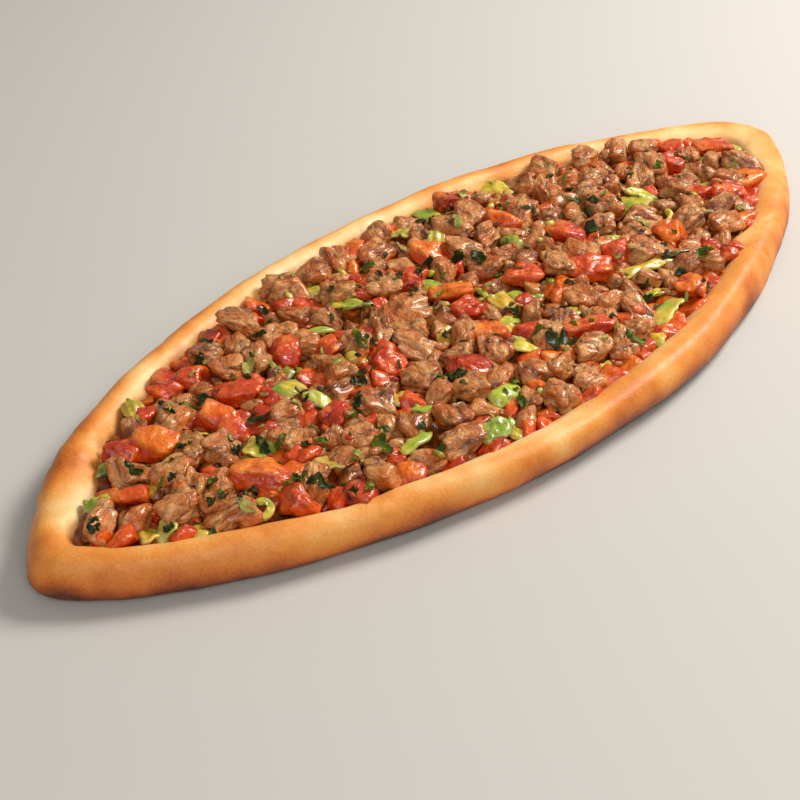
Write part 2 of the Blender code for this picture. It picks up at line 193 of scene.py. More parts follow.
def noise(points, size, seed):
    """Smooth noise from about -1 to 1: drawn values at the corners of turned cubes, eased between."""
    cell = points @ NOISE_TURN / size + seed * SEED_SHIFT + NOISE_SHIFT
    low = np.floor(cell).astype(np.int64)
    share = cell - low
    share = share * share * (3 - 2 * share)
    total = 0.0
    for corner in np.ndindex(2, 2, 2):
        x, y, z = np.moveaxis((low + corner) * NOISE_STEPS, -1, 0)
        weight = np.abs(1 - np.array(corner) - share).prod(-1)
        total = total + NOISE_VALUES[(x ^ y ^ z) % NOISE_COUNT] * weight
    return total * NOISE_GAIN


def layered(points, *layers):
    """Sum of noises, from rows of an amount, a size and a seed."""
    return sum(amount * noise(points, size, seed) for amount, size, seed in layers)


def surface_normals(grid):
    """Outward normals of a grid whose columns run round: the cross product of its two slopes."""
    along = np.roll(grid, -1, axis=1) - np.roll(grid, 1, axis=1)
    up = np.gradient(grid, axis=0)
    normal = np.cross(along, up)
    return normal / np.maximum(np.linalg.norm(normal, axis=-1, keepdims=True), 1e-12)


def wrapped_quads(rows, columns):
    """Corners of the faces of a grid whose last column meets its first."""
    row = np.arange(rows - 1)[:, None] * columns
    here = np.arange(columns)
    there = (here + 1) % columns
    above = row + columns
    return np.stack([row + here, row + there, above + there, above + here], -1).reshape(-1, 4)


def ladder(ring, columns, first, upward):
    """Points and faces that close a ring by straight rows from each far point to its near mirror."""
    half = len(ring) // 2
    far = np.arange(1, half)
    near = len(ring) - far
    share = np.linspace(0, 1, columns + 1)[1:-1][None, :, None]
    points = ring[far][:, None] * (1 - share) + ring[near][:, None] * share
    inside = first + np.arange(len(far) * (columns - 1)).reshape(len(far), columns - 1)
    table = np.concatenate([far[:, None], inside, near[:, None]], 1)
    quads = np.stack([table[:-1, :-1], table[1:, :-1], table[1:, 1:], table[:-1, 1:]], -1).reshape(-1, 4)
    ends = [np.stack([np.zeros(columns, int), table[0, :-1], table[0, 1:]], 1),
            np.stack([np.full(columns, half), table[-1, 1:], table[-1, :-1]], 1)]
    triangles = np.concatenate(ends)
    if not upward:
        quads = quads[:, ::-1]
        triangles = triangles[:, ::-1]
    return points.reshape(-1, 3), quads, triangles


def food_mesh(name, points, quads, triangles=np.zeros((0, 3), int)):
    """Smooth mesh from arrays of points and of four and three cornered faces."""
    mesh = bpy.data.meshes.new(name)
    corners = np.concatenate([quads.ravel(), triangles.ravel()])
    starts = np.concatenate([np.arange(len(quads)) * 4, len(quads) * 4 + np.arange(len(triangles)) * 3])
    mesh.vertices.add(len(points))
    mesh.vertices.foreach_set("co", points.astype(np.float32).ravel())
    mesh.loops.add(len(corners))
    mesh.loops.foreach_set("vertex_index", corners.astype(np.int32))
    mesh.polygons.add(len(starts))
    mesh.polygons.foreach_set("loop_start", starts.astype(np.int32))
    mesh.update(calc_edges=True)
    mesh.shade_smooth()
    return mesh


def add_values(mesh, name, values):
    """Values at each point of a mesh, one number or three, that its material reads by name."""
    if values.ndim == 1:
        mesh.attributes.new(name, "FLOAT", "POINT").data.foreach_set("value", values.astype(np.float32))
    else:
        made = mesh.attributes.new(name, "FLOAT_VECTOR", "POINT")
        made.data.foreach_set("vector", values.astype(np.float32).ravel())


def serve(name, mesh, look, material_slot, *nodes):
    """Object of a mesh with its material, riding with the pide and standing for CAD nodes."""
    mesh.materials.append(look)
    piece = bpy.data.objects.new(name, mesh)
    bpy.context.scene.collection.objects.link(piece)
    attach(piece, "root")
    if nodes:
        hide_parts(*nodes)
    return piece


def paint(red, green, blue):
    """Colour as the eye reads it, 0 to 255, turned into light values."""
    level = np.array([red, green, blue]) / 255
    return (*np.where(level <= 0.04045, level / 12.92, ((level + 0.055) / 1.055) ** 2.4), 1.0)


def join(tree, socket, value):
    """Set a socket to a value, or link another node's output to it."""
    if isinstance(value, bpy.types.NodeSocket):
        tree.links.new(value, socket)
    else:
        socket.default_value = value


def maths(tree, operation, one, other=0.0):
    """Output of a Math node."""
    made = tree.nodes.new("ShaderNodeMath")
    made.operation = operation
    join(tree, made.inputs[0], one)
    join(tree, made.inputs[1], other)
    return made.outputs[0]


def between(tree, value, low, high, to_low=0.0, to_high=1.0):
    """A value carried from one range to another and kept inside it."""
    made = tree.nodes.new("ShaderNodeMapRange")
    for place, number in enumerate((value, low, high, to_low, to_high)):
        join(tree, made.inputs[place], number)
    return made.outputs[0]


def speckle(tree, place, scale, detail=2.0, stretch=None):
    """Output of a Noise texture at a place, drawn out along an axis where a stretch is given."""
    if stretch:
        mapping = tree.nodes.new("ShaderNodeMapping")
        join(tree, mapping.inputs["Vector"], place)
        mapping.inputs["Scale"].default_value = stretch
        place = mapping.outputs[0]
    made = tree.nodes.new("ShaderNodeTexNoise")
    join(tree, made.inputs["Vector"], place)
    join(tree, made.inputs["Scale"], scale)
    made.inputs["Detail"].default_value = detail
    return made.outputs["Fac"]


def blend(tree, share, one, other, kind="MIX"):
    """Colour mixed from two."""
    made = tree.nodes.new("ShaderNodeMix")
    made.data_type = "RGBA"
    made.blend_type = kind
    join(tree, made.inputs[0], share)
    join(tree, made.inputs[6], one)
    join(tree, made.inputs[7], other)
    return made.outputs[2]


def colours(tree, value, *stops):
    """Colour ramp over a value, from stops of a place and a colour."""
    made = tree.nodes.new("ShaderNodeValToRGB")
    join(tree, made.inputs[0], value)
    ramp = made.color_ramp
    while len(ramp.elements) < len(stops):
        ramp.elements.new(1.0)
    for element, (place, colour) in zip(ramp.elements, stops):
        element.position = place
        element.color = colour
    return made.outputs[0]


def stored(tree, name, output="Fac"):
    """Values stored at the mesh's points under a name."""
    made = tree.nodes.new("ShaderNodeAttribute")
    made.attribute_name = name
    return made.outputs[output]


def bumped(tree, height, distance, strength=1.0):
    """Normal tilted by a height, in metres of depth."""
    made = tree.nodes.new("ShaderNodeBump")
    made.inputs["Strength"].default_value = strength
    made.inputs["Distance"].default_value = distance
    join(tree, made.inputs["Height"], height)
    return made.outputs[0]


def food_material(name, **constants):
    """Material with one Principled shader, its constant values set on its own sockets."""
    made = bpy.data.materials.new(name)
    made.use_nodes = True
    tree = made.node_tree
    shader = tree.nodes["Principled BSDF"]
    for key, value in constants.items():
        shader.inputs[key.replace("_", " ")].default_value = value
    return made, tree, shader.inputs


def crust_material():
    """Baked dough: colour by how far it is toasted, with painted shade and light mixed in, speckled finely,
    with a dry satin skin.
    """
    made, tree, shader = food_material("baked_dough", Subsurface_Weight=0.08, Subsurface_Scale=0.003,
                                       Subsurface_Radius=(1.0, 0.55, 0.25), Specular_IOR_Level=0.45,
                                       Coat_Weight=0.12, Coat_Roughness=0.36)
    place = tree.nodes.new("ShaderNodeTexCoord").outputs["Object"]
    coarse = between(tree, speckle(tree, place, 140, 3.0), 0.3, 0.7, -0.035, 0.035)
    fine = between(tree, speckle(tree, place, 1000, 4.0), 0.3, 0.7, -0.050, 0.050)
    toast_and_painted_light = maths(tree, "ADD", maths(tree, "ADD", stored(tree, "toast_and_painted_light"), coarse), fine)
    baked = colours(tree, toast_and_painted_light, (0.0, paint(246, 222, 172)), (0.20, paint(246, 198, 126)),
                    (0.42, paint(238, 156, 68)), (0.62, paint(216, 120, 36)), (0.80, paint(166, 76, 18)),
                    (1.0, paint(84, 36, 8)))
    join(tree, shader["Base Color"], blend(tree, stored(tree, "stain"), baked, paint(158, 76, 28)))
    join(tree, shader["Roughness"], between(tree, speckle(tree, place, 240, 3.0), 0.3, 0.7, 0.46, 0.62))
    pores = maths(tree, "ADD", speckle(tree, place, 620, 5.0),
                  maths(tree, "MULTIPLY", speckle(tree, place, 110, 3.0), 1.6))
    join(tree, shader["Normal"], bumped(tree, pores, 0.00040, 0.5))
    return made


CREST_TOAST = 0.36
# The outer wall's darkening towards its foot is partly browning and partly painted shade.
WALL_TOAST_AND_SHADE = 0.70
WALL_RISE = 1.6
INNER_PALER = 0.13
FOOT_PALER = 0.14
# The far end's paleness is partly its own colour and partly a painted highlight.
FAR_END_PALE_AND_LIT = 0.09
UNDER_TOAST = 0.52
JUICE_HEIGHT = 0.0165


def bread_mesh():
    """The rim as a grid of its section carried round the outline, closed by ladders over and under."""
    inset, height = rim_section()
    turn = np.broadcast_to(TURN, (len(inset), STATIONS))
    grid = rim_points(turn, inset + 0 * turn, height + 0 * turn)
    normal = surface_normals(grid)
    soft = layered(grid, (0.00050, 0.030, 1), (0.00022, 0.013, 2), (0.00008, 0.0055, 3))
    blister = np.clip(noise(grid, 0.009, 4) - 0.70, 0, None) * 0.0009
    arc = np.arange(STATIONS) / STATIONS
    span = np.linalg.norm(np.diff(WIDEST, axis=0), axis=1).sum()
    row = np.linspace(0, 1, len(inset))[:, None]
    over = np.clip(np.sin(math.pi * np.clip(row * 1.15 - 0.1, 0, 1)), 0, 1)
    crease = np.zeros_like(soft)
    for degrees, slant, depth, width in CREASES:
        centre = np.interp(math.radians(degrees), TURN, arc)
        away = ((arc - centre + 0.5) % 1 - 0.5) * span - slant * (row - 0.6)
        crease += depth * np.exp(-(away / width) ** 2) * over
    weight = np.clip(grid[..., 2] / 0.004, 0, 1)[..., None]
    grid = grid + normal * (soft + blister - crease)[..., None] * weight
    grid[..., 2] = np.clip(grid[..., 2], 0, None)
    ring_count = grid.shape[0] * STATIONS
    under, under_quads, under_ends = ladder(grid[0], UNDER_COLUMNS, ring_count, False)
    first = ring_count + len(under)
    floor, floor_quads, floor_ends = ladder(grid[-1], UNDER_COLUMNS, first, True)
    last_ring = (len(inset) - 1) * STATIONS
    shift = np.where(floor_quads < first, last_ring, 0)
    shift_ends = np.where(floor_ends < first, last_ring, 0)
    points = np.concatenate([grid.reshape(-1, 3), under, floor])
    quads = np.concatenate([wrapped_quads(len(inset), STATIONS), under_quads, floor_quads + shift])
    mesh = food_mesh("bread", points, quads, np.concatenate([under_ends, floor_ends + shift_ends]))
    flat = points[:, :2]
    level = points[:, 2]
    inside = np.concatenate([np.repeat(inset[:, 0], STATIONS), np.full(len(under), -1.0),
                             np.full(len(floor), 0.02)])
    inner = np.clip((inside - 0.0080) / 0.006, 0, 1)
    low = np.clip(1 - level / RIM_HEIGHT, 0, 1)
    outer = np.clip((0.0095 - inside) / 0.004, 0, 1)
    # The outer wall darkens towards its foot: partly real browning, partly painted shade.
    tone = CREST_TOAST + outer * (WALL_TOAST_AND_SHADE * low ** WALL_RISE + 0.04) - inner * INNER_PALER
    tone -= outer * FOOT_PALER * np.clip(1 - level / 0.0020, 0, 1)
    tone += layered(points, (0.11, 0.036, 11), (0.080, 0.014, 12), (0.03, 0.006, 13))
    tone += 0.22 * np.clip(noise(points, 0.020, 14) - 0.35, 0, None) * (1 - inner)
    # The far end is paler: partly its own colour, partly a painted highlight where the key light falls.
    tone -= FAR_END_PALE_AND_LIT * np.clip((flat[:, 0] - 0.02) / 0.20, 0, 1)
    for x, y, reach, amount in BROWNED:
        tone += amount * np.exp(-((flat - (x * MM, y * MM)) ** 2).sum(1) / (reach * MM) ** 2)
    baked_base = UNDER_TOAST + layered(points, (0.30, 0.030, 15), (0.16, 0.010, 16))
    tone = np.where(inside < 0, baked_base, tone)
    soaked = np.clip((JUICE_HEIGHT + 0.0025 * noise(points, 0.010, 17) - level) / 0.003, 0, 1)
    add_values(mesh, "toast_and_painted_light", np.clip(tone, 0.0, 1.0))
    add_values(mesh, "stain", soaked * (inside > CREST_INSET + 0.002) * 0.55)
    return mesh


# Angle in degrees, slant, depth and width of each crease pressed across the rim.
CREASES = ((158, 0.010, 0.0006, 0.0045), (171, -0.006, 0.0005, 0.0040), (305, 0.004, 0.0010, 0.0022),
           (313.5, -0.004, 0.0010, 0.0022), (352, 0.006, 0.0004, 0.0040), (120, 0.008, 0.0003, 0.0060),
           (232, -0.008, 0.0003, 0.0060))
# Place x and y, reach in millimetres and amount of each browner patch.
BROWNED = ((-220, 4, 12, 0.16), (-197, 38, 9, 0.22), (-176, 53, 8, 0.16), (-152, 66, 9, 0.20),
           (-122, 74, 8, 0.16), (-90, 84, 10, 0.16), (222, 26, 10, 0.18), (165, -42, 9, 0.26),
           (-165, -48, 16, 0.14), (-120, -66, 12, 0.12), (-60, 90, 12, 0.14), (100, 78, 16, 0.10),
           (38, -92, 12, 0.12), (-10, -92, 10, 0.10), (100, -80, 10, 0.10), (-232, 6, 10, 0.14),
           (-207, 14, 15, -0.12), (-172, 38, 14, -0.10), (-140, 56, 12, -0.08), (-80, -82, 9, -0.08))
serve("bread", bread_mesh(), crust_material(), "baked_dough", "crust")


# The bed of the filling
# Meat juice, melted tomato and fine mince that soak together under the pieces and hold them on
# the dough. It fills the hollow from wall to wall, and shows dark and oily between the pieces; the
# low spots of its lumps are darkened further as painted shade.

BED_HEIGHT = 0.0138
MEAT_FOOT = 0.0118
BED_COLUMNS = 110
BED_STATIONS = 900
BED_INTO_WALL = 0.0004


def wall_ring(turn, height):
    """Ring where the rim's inner wall stands at a height."""
    drop = np.arccos(np.clip((height - FLOOR_HEIGHT) / (RIM_HEIGHT - FLOOR_HEIGHT), -1, 1))
    inset = CREST_INSET + (RIM_WIDTH - CREST_INSET) * math.sin(drop)
    return rim_points(turn, np.full_like(turn, inset), np.full_like(turn, height))


def bed_mesh():
    """A ladder of straight rows across the wall's ring, lifted into lumps, over a flat underside."""
    ring = wall_ring(even_turns(BED_STATIONS), BED_HEIGHT)
    middle = ring.mean(0)
    outward = ring[:, :2] - middle[:2]
    ring[:, :2] += outward / np.linalg.norm(outward, axis=1)[:, None] * BED_INTO_WALL
    ring[:, 2] = BED_HEIGHT
    low = ring.copy()
    low[:, 2] = FLOOR_HEIGHT + 0.0010
    low[:, :2] = middle[:2] + (low[:, :2] - middle[:2]) * 0.96
    rings = np.concatenate([low, ring])
    top, top_quads, top_ends = ladder(ring, BED_COLUMNS, 2 * BED_STATIONS, True)
    under, under_quads, under_ends = ladder(low, 2, 2 * BED_STATIONS + len(top), False)
    top[:, 2] += layered(top, (0.0009, 0.009, 21), (0.0007, 0.0040, 22), (0.00035, 0.0020, 23))
    points = np.concatenate([rings, top, under])
    shift = np.where(top_quads < 2 * BED_STATIONS, BED_STATIONS, 0)
    shift_ends = np.where(top_ends < 2 * BED_STATIONS, BED_STATIONS, 0)
    quads = np.concatenate([wrapped_quads(2, BED_STATIONS), top_quads + shift, under_quads])
    mesh = food_mesh("filling_bed", points, quads, np.concatenate([top_ends + shift_ends, under_ends]))
    # The hollow values follow the low spots of the lumps; the material darkens them as painted shade.
    add_values(mesh, "hollow", np.clip(0.5 - noise(points, 0.0040, 22) * 0.6, 0, 1))
    return mesh


def effect(name, inputs, outputs):
    """Empty node group with named inputs, a place and numbers, and named numbers out."""
    tree = bpy.data.node_groups.new(name, "ShaderNodeTree")
    tree.interface.new_socket(name="Place", in_out="INPUT", socket_type="NodeSocketVector")
    for label, value in inputs.items():
        socket = tree.interface.new_socket(name=label, in_out="INPUT", socket_type="NodeSocketFloat")
        socket.default_value = value
    for label in outputs:
        tree.interface.new_socket(name=label, in_out="OUTPUT", socket_type="NodeSocketFloat")
    return tree, tree.nodes.new("NodeGroupInput").outputs, tree.nodes.new("NodeGroupOutput").inputs


def placed(tree, group, **values):
    """Outputs of a shared effect put into a material with its own values."""
    made = tree.nodes.new("ShaderNodeGroup")
    made.node_tree = group
    for label, value in values.items():
        join(tree, made.inputs[label], value)
    return made.outputs


def oil_film():
    """Thin oil over cooked food: a roughness that falls in wet patches."""
    tree, given, made = effect("oil_film", {"Fineness": 240.0, "Wet": 0.24, "Dry": 0.5}, ["Roughness"])
    patch = speckle(tree, given["Place"], given["Fineness"], 3.0)
    join(tree, made["Roughness"], between(tree, patch, 0.40, 0.62, given["Dry"], given["Wet"]))
    return tree


OIL = oil_film()


def oiled(tree, shader, place, fineness, wet, dry):
    """Roughness of a material taken from the film of oil over it."""
    film = placed(tree, OIL, Place=place, Fineness=fineness, Wet=wet, Dry=dry)
    join(tree, shader["Roughness"], film["Roughness"])


def bed_material():
    """Juices over mince: painted shade, dark brown, in the hollows of its lumps, rust red and orange oil
    between, wet all over.
    """
    made, tree, shader = food_material("juices", Specular_IOR_Level=0.6, Coat_Weight=0.35,
                                       Coat_Roughness=0.12)
    place = tree.nodes.new("ShaderNodeTexCoord").outputs["Object"]
    kind = colours(tree, speckle(tree, place, 60, 3.0), (0.30, paint(124, 54, 14)),
                   (0.45, paint(176, 84, 24)), (0.56, paint(206, 110, 36)), (0.68, paint(204, 66, 12)))
    grain = between(tree, speckle(tree, place, 420, 4.0), 0.3, 0.7, 0.6, 1.25)
    tone = blend(tree, 1.0, kind, grain, "MULTIPLY")
    # Painted shade: dark brown laid over the low spots of the bed's lumps.
    dark = between(tree, stored(tree, "hollow"), 0.2, 1.0, 0.0, 0.5)
    join(tree, shader["Base Color"], blend(tree, dark, tone, paint(66, 18, 2)))
    oiled(tree, shader, place, 120.0, 0.20, 0.45)
    join(tree, shader["Normal"], bumped(tree, speckle(tree, place, 380, 5.0), 0.0007, 0.8))
    return made


serve("filling_bed", bed_mesh(), bed_material(), "cooked_meat", "filling")


# Places of the toppings
# The cook strews the tomato and pepper over the meat, so each lies where the CAD has it. Each has
# its form, its length and width in millimetres, its turn in degrees and its colour.

TOMATOES = (
    ("cut", 16, 12, -45, "orange"), ("lump", 10, 9, 0, "red"), ("cut", 13, 8, -45, "scarlet"),
    ("lump", 19, 11, -15, "red"), ("cut", 19, 9, -70, "scarlet"), ("lump", 11, 8, 0, "red"),
    ("lump", 12, 8, -30, "red"), ("lump", 12, 10, 0, "deep"), ("cut", 20, 12, -45, "orange"),
    ("lump", 10, 8, 0, "scarlet"), ("lump", 13, 9, -60, "scarlet"), ("cut", 12, 11, -30, "red"),
    ("cut", 11, 8, 60, "scarlet"), ("lump", 14, 12, -45, "scarlet"), ("cut", 17, 13, -40, "orange"),
    ("lump", 11, 9, 20, "red"), ("cut", 17, 11, -45, "orange"), ("lump", 18, 12, -45, "scarlet"),
    ("lump", 13, 11, 0, "orange"), ("lump", 20, 11, -35, "scarlet"), ("lump", 12, 11, 0, "red"),
    ("lump", 14, 11, 0, "orange"), ("lump", 16, 12, -45, "scarlet"), ("cut", 11, 9, -45, "red"),
    ("cut", 17, 11, -45, "scarlet"), ("lump", 14, 8, -80, "red"), ("lump", 14, 10, 0, "orange"),
    ("cut", 19, 9, -45, "red"), ("cut", 15, 9, -45, "orange"), ("lump", 11, 9, 0, "red"),
    ("cut", 15, 10, -45, "orange"), ("cut", 17, 8, -50, "deep"), ("cut", 18, 12, -55, "scarlet"),
    ("lump", 15, 12, -30, "deep"),
)
PEPPERS = (
    ("flap", 12, 7, -45, "lime"), ("flap", 12, 6, -45, "lime"), ("flap", 14, 8, -60, "green"),
    ("ring", 11, 4, 30, "lime"), ("flap", 14, 7, -25, "olive"), ("flap", 12, 8, 0, "green"),
    ("flap", 12, 6, -60, "pale"), ("arc", 19, 5, -45, "lime"), ("flap", 16, 8, -35, "lime"),
    ("arc", 23, 4, -42, "lime"), ("flap", 16, 8, 5, "lime"), ("flap", 14, 8, -20, "green"),
    ("arc", 15, 4, -45, "lime"), ("flap", 27, 6, -17, "yellow"), ("ring", 12, 4, -35, "lime"),
    ("flap", 14, 7, -70, "lime"), ("arc", 18, 4, -50, "olive"), ("flap", 20, 7, 12, "green"),
    ("flap", 12, 9, -30, "lime"), ("flap", 11, 9, -20, "yellow"), ("flap", 10, 9, -45, "pale"),
    ("flap", 12, 6, -85, "green"), ("arc", 17, 6, 8, "lime"), ("flap", 10, 8, 20, "yellow"),
)
# Smaller pieces between them: place x and y, length, width, turn and colour.
SMALL_TOMATOES = (
    (-185, -4, 9, 8, 0, "red"), (-188, -24, 11, 8, -45, "scarlet"), (-151, -32, 11, 9, -45, "orange"),
    (-132, -50, 10, 9, 0, "red"), (-126, 4, 14, 7, -50, "deep"), (-128, 15, 9, 8, 0, "red"),
    (-88, 15, 11, 9, 0, "scarlet"), (-66, -9, 11, 8, -40, "scarlet"), (-14, 63, 10, 9, 0, "orange"),
    (-26, 44, 11, 8, -30, "red"), (-26, 34, 12, 9, 80, "red"), (-8, 43, 8, 7, 0, "orange"),
    (69, 51, 10, 8, 0, "red"), (80, 47, 12, 10, 0, "orange"), (92, 34, 14, 9, 40, "red"),
    (113, 33, 13, 8, -10, "red"), (98, -24, 12, 6, -45, "red"), (83, -2, 9, 8, 0, "red"),
    (-72, 68, 9, 8, 0, "scarlet"), (-93, 66, 9, 8, 0, "scarlet"), (-65, -25, 14, 8, -45, "orange"),
    (-92, -25, 8, 6, 0, "red"), (-103, -51, 9, 8, 0, "red"), (127, -55, 10, 7, -45, "red"),
    (119, -46, 9, 7, -60, "red"), (-42, -76, 8, 6, 0, "red"), (-2, -53, 15, 9, -35, "orange"),
    (5, -30, 13, 9, -45, "red"), (156, 29, 12, 8, -45, "red"), (-63, 34, 10, 7, -30, "red"),
    (-160, -4, 9, 5, -40, "red"), (-48, 22, 12, 6, -30, "deep"), (20, 28, 9, 6, -50, "red"),
    (132, 40, 8, 6, 0, "scarlet"), (184, -10, 9, 7, 0, "red"), (101, -66, 10, 8, -20, "orange"),
)
SMALL_PEPPERS = (
    (-151, -9, 20, 4, -30, "lime"), (-142, -6, 9, 5, 20, "yellow"), (-56, -61, 10, 7, 10, "yellow"),
    (-53, -71, 9, 7, 30, "green"), (68, -53, 13, 5, -15, "lime"), (28, -36, 9, 7, 0, "green"),
    (23, -9, 14, 6, -45, "lime"), (28, -14, 8, 5, 0, "green"), (-72, -24, 9, 7, -20, "yellow"),
    (11, 4, 12, 3, 65, "lime"), (-48, 5, 10, 4, -45, "pale"), (54, 1, 11, 4, 30, "green"),
    (-24, -7, 9, 7, 0, "yellow"), (-15, -7, 7, 6, 0, "yellow"), (-181, 5, 9, 7, -30, "yellow"),
    (-197, -13, 10, 8, 0, "yellow"), (-190, -17, 13, 7, 50, "pale"), (-183, -26, 12, 6, 70, "olive"),
    (-63, 7, 7, 5, 0, "olive"), (-23, 53, 9, 6, -40, "yellow"), (-6, 39, 9, 4, 50, "yellow"),
    (0, -19, 10, 5, -60, "yellow"), (7, -72, 7, 6, 0, "yellow"), (32, -58, 7, 6, 0, "yellow"),
    (38, -75, 8, 6, 30, "yellow"), (124, -3, 8, 6, 0, "yellow"), (-50, -12, 13, 2, 14, "yellow"),
    (-87, 22, 11, 3, 40, "yellow"), (40, -12, 8, 5, 0, "yellow"), (66, 22, 9, 6, -40, "olive"),
)


def on_bread(rows):
    """Places of rows that start with x and y in millimetres from the bare outline's middle."""
    return np.array([row[:2] for row in rows]) * MM - MIDDLE


def box_middles(names):
    """Middles of CAD nodes' boxes."""
    return np.array([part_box(name) for name in names]).mean(1)


def footprint_discs(middle, length, width, turn):
    """Discs in a row that cover a piece's footprint: x, y and radius."""
    count = max(1, round(length / width * 1.3))
    reach = np.linspace(-0.5, 0.5, count) * max(length - width, 0) * MM
    way = (math.cos(math.radians(turn)), math.sin(math.radians(turn)))
    return [(middle[0] + one * way[0], middle[1] + one * way[1], width * MM / 2) for one in reach]


TOMATO_NODES = [f"tomato_{number:02d}" for number in range(1, len(TOMATOES) + 1)]
PEPPER_NODES = [f"pepper_{number:02d}" for number in range(1, len(PEPPERS) + 1)]
SMALL_COVER = 0.8
TOPPING_RISE = 0.0018
TAKEN = []
for middle, row in zip(box_middles(TOMATO_NODES + PEPPER_NODES), TOMATOES + PEPPERS):
    form, length, width, turn = row[:4]
    TAKEN += footprint_discs(middle, length, length if form == "ring" else width, turn)
SMALL_ROWS = SMALL_TOMATOES + SMALL_PEPPERS
for middle, row in zip(on_bread(SMALL_ROWS), SMALL_ROWS):
    length, width, turn = row[2:5]
    TAKEN += footprint_discs(middle, length * SMALL_COVER, width * SMALL_COVER, turn)
TAKEN = np.array(TAKEN)


# The meat
# Lamb cut by hand into cubes as large as a thumb's end and seared in its own fat. The pieces are
# torn and lobed, with the fibres showing on their cut faces, and browner on the ridges.

MEAT_MIX = ((58, 0.0080, 0.0093), (72, 0.0064, 0.0080), (56, 0.0044, 0.0060))
LARGE_MEAT = 130
MEAT_CLOSE = 0.90
MEAT_CROWN = 0.0245
MEAT_PRESSED = 0.55
MEAT_RAISED = 0.4
MEAT_SHIFT = 0.0022
THICKEST_HALF = 0.0064
CUT_SHARPNESS = 22.0
BEND_SIZE = 0.007
LOBE_SIZE = 0.0058
STRAND_SIZE = 0.0027
SWELL_SIZE = 0.0075
MEAT_PUSH = 0.35
TOPPING_CLOSE = 0.86
TOPPING_PUSH = 0.5
WALL_CLOSE = 1.02
SETTLE_STEPS = 160
EDGE_HEIGHT = 0.0165
EDGE_STATIONS = 720
GAP_TRIES = 14000
WALL_ROOM = 0.0006
SMALLEST_GAP = 0.0026
LARGEST_GAP = 0.0075
WIDE_GAP = 0.0072
GAP_CLOSE = 0.84
GAP_GROWTH = 1.18
GAP_MEAT_SIZE = 0.96
GAP_MEAT_SHARE = 0.10
GAP_TOMATO_SHARE = 0.86
# Angle in degrees, spread and depth of each stretch where the heap keeps off the wall.
DRAWN_IN = ((152, 0.50, 0.0026), (90, 0.70, 0.0014), (6, 0.30, 0.0026), (262, 0.80, -0.0026))
draw = np.random.default_rng(20)


def sphere_grid(columns, rows):
    """Directions to the points of a globe: its south pole, its rows and its north pole, and its faces."""
    down = np.linspace(0, math.pi, rows + 2)[1:-1]
    round_ = np.arange(columns) * 2 * math.pi / columns
    ring = np.stack([np.sin(down)[:, None] * np.cos(round_), np.sin(down)[:, None] * np.sin(round_),
                     -np.cos(down)[:, None] + 0 * round_], -1).reshape(-1, 3)
    ways = np.concatenate([[[0, 0, -1.0]], ring, [[0, 0, 1.0]]])
    here = 1 + np.arange(columns)
    there = 1 + (np.arange(columns) + 1) % columns
    last = (rows - 1) * columns
    low = np.stack([np.zeros(columns, int), there, here], 1)
    high = np.stack([np.full(columns, len(ways) - 1), here + last, there + last], 1)
    return ways, wrapped_quads(rows, columns) + 1, np.concatenate([low, high])


def about(axis, angle):
    """Rotations about one axis for an array of angles."""
    one, other = (axis + 1) % 3, (axis + 2) % 3
    made = np.zeros((3, 3, len(angle)))
    made[axis, axis] = 1
    made[one, one] = made[other, other] = np.cos(angle)
    made[other, one] = np.sin(angle)
    made[one, other] = -np.sin(angle)
    return made


def turned(turn, lean, roll):
    """Rotations for arrays of a turn about the vertical, after tilts about x and y."""
    return np.einsum("abn,bcn,cdn->nad", about(2, turn), about(0, lean), about(1, roll))


def tilted(turns, tilt):
    """Rotations by turns in degrees, with drawn tilts up to a limit in degrees."""
    turns = np.radians(np.array(turns, float))
    return turned(turns, *draw.uniform(-math.radians(tilt), math.radians(tilt), (2, len(turns))))


def torn_blocks(ways, halves, squareness, planes, lumpiness):
    """Torn blocks in every direction: a rounded block's distance, cut back by planes, then swollen into
    lobes by the size of a noise drawn out along the fibres, so the lobes part where that is nought."""
    count = len(halves)
    power = squareness[:, None]
    reach = (np.abs(ways[None] / halves[:, None]) ** power[..., None]).sum(2) ** (-1 / power)
    cuts = draw.normal(size=(count, planes, 3))
    cuts /= np.linalg.norm(cuts, axis=2, keepdims=True)
    stand = np.linalg.norm(cuts * halves[:, None], axis=2) * draw.uniform(0.62, 0.98, (count, planes))
    facing = np.maximum(np.einsum("gd,nkd->ngk", ways, cuts), 0.05)
    every = np.concatenate([reach[..., None], stand[:, None] / facing], 2)
    shortest = every.min(2)
    reach = shortest * ((every / shortest[..., None]) ** -CUT_SHARPNESS).sum(2) ** (-1 / CUT_SHARPNESS)
    apart = reach[..., None] * ways + np.arange(count)[:, None, None] * 0.37
    bent = apart * (0.55, 1, 1) + 0.0016 * noise(apart, BEND_SIZE, 46)[..., None]
    lobe = np.abs(noise(bent, LOBE_SIZE, 41))
    strand = np.abs(noise(apart * (0.4, 1, 1), STRAND_SIZE, 42))
    swell = noise(apart, SWELL_SIZE, 43)
    reach = reach * (1 + lumpiness[:, None] * (1.7 * lobe + 0.9 * strand - 0.85 + 0.8 * swell))
    return reach[..., None] * ways, lobe, strand, swell


def nearest_wall(places, edge):
    """Nearest point of the wall's ring to each place."""
    away = np.linalg.norm(places[:, None] - edge[None], axis=2)
    return edge[away.argmin(1)]


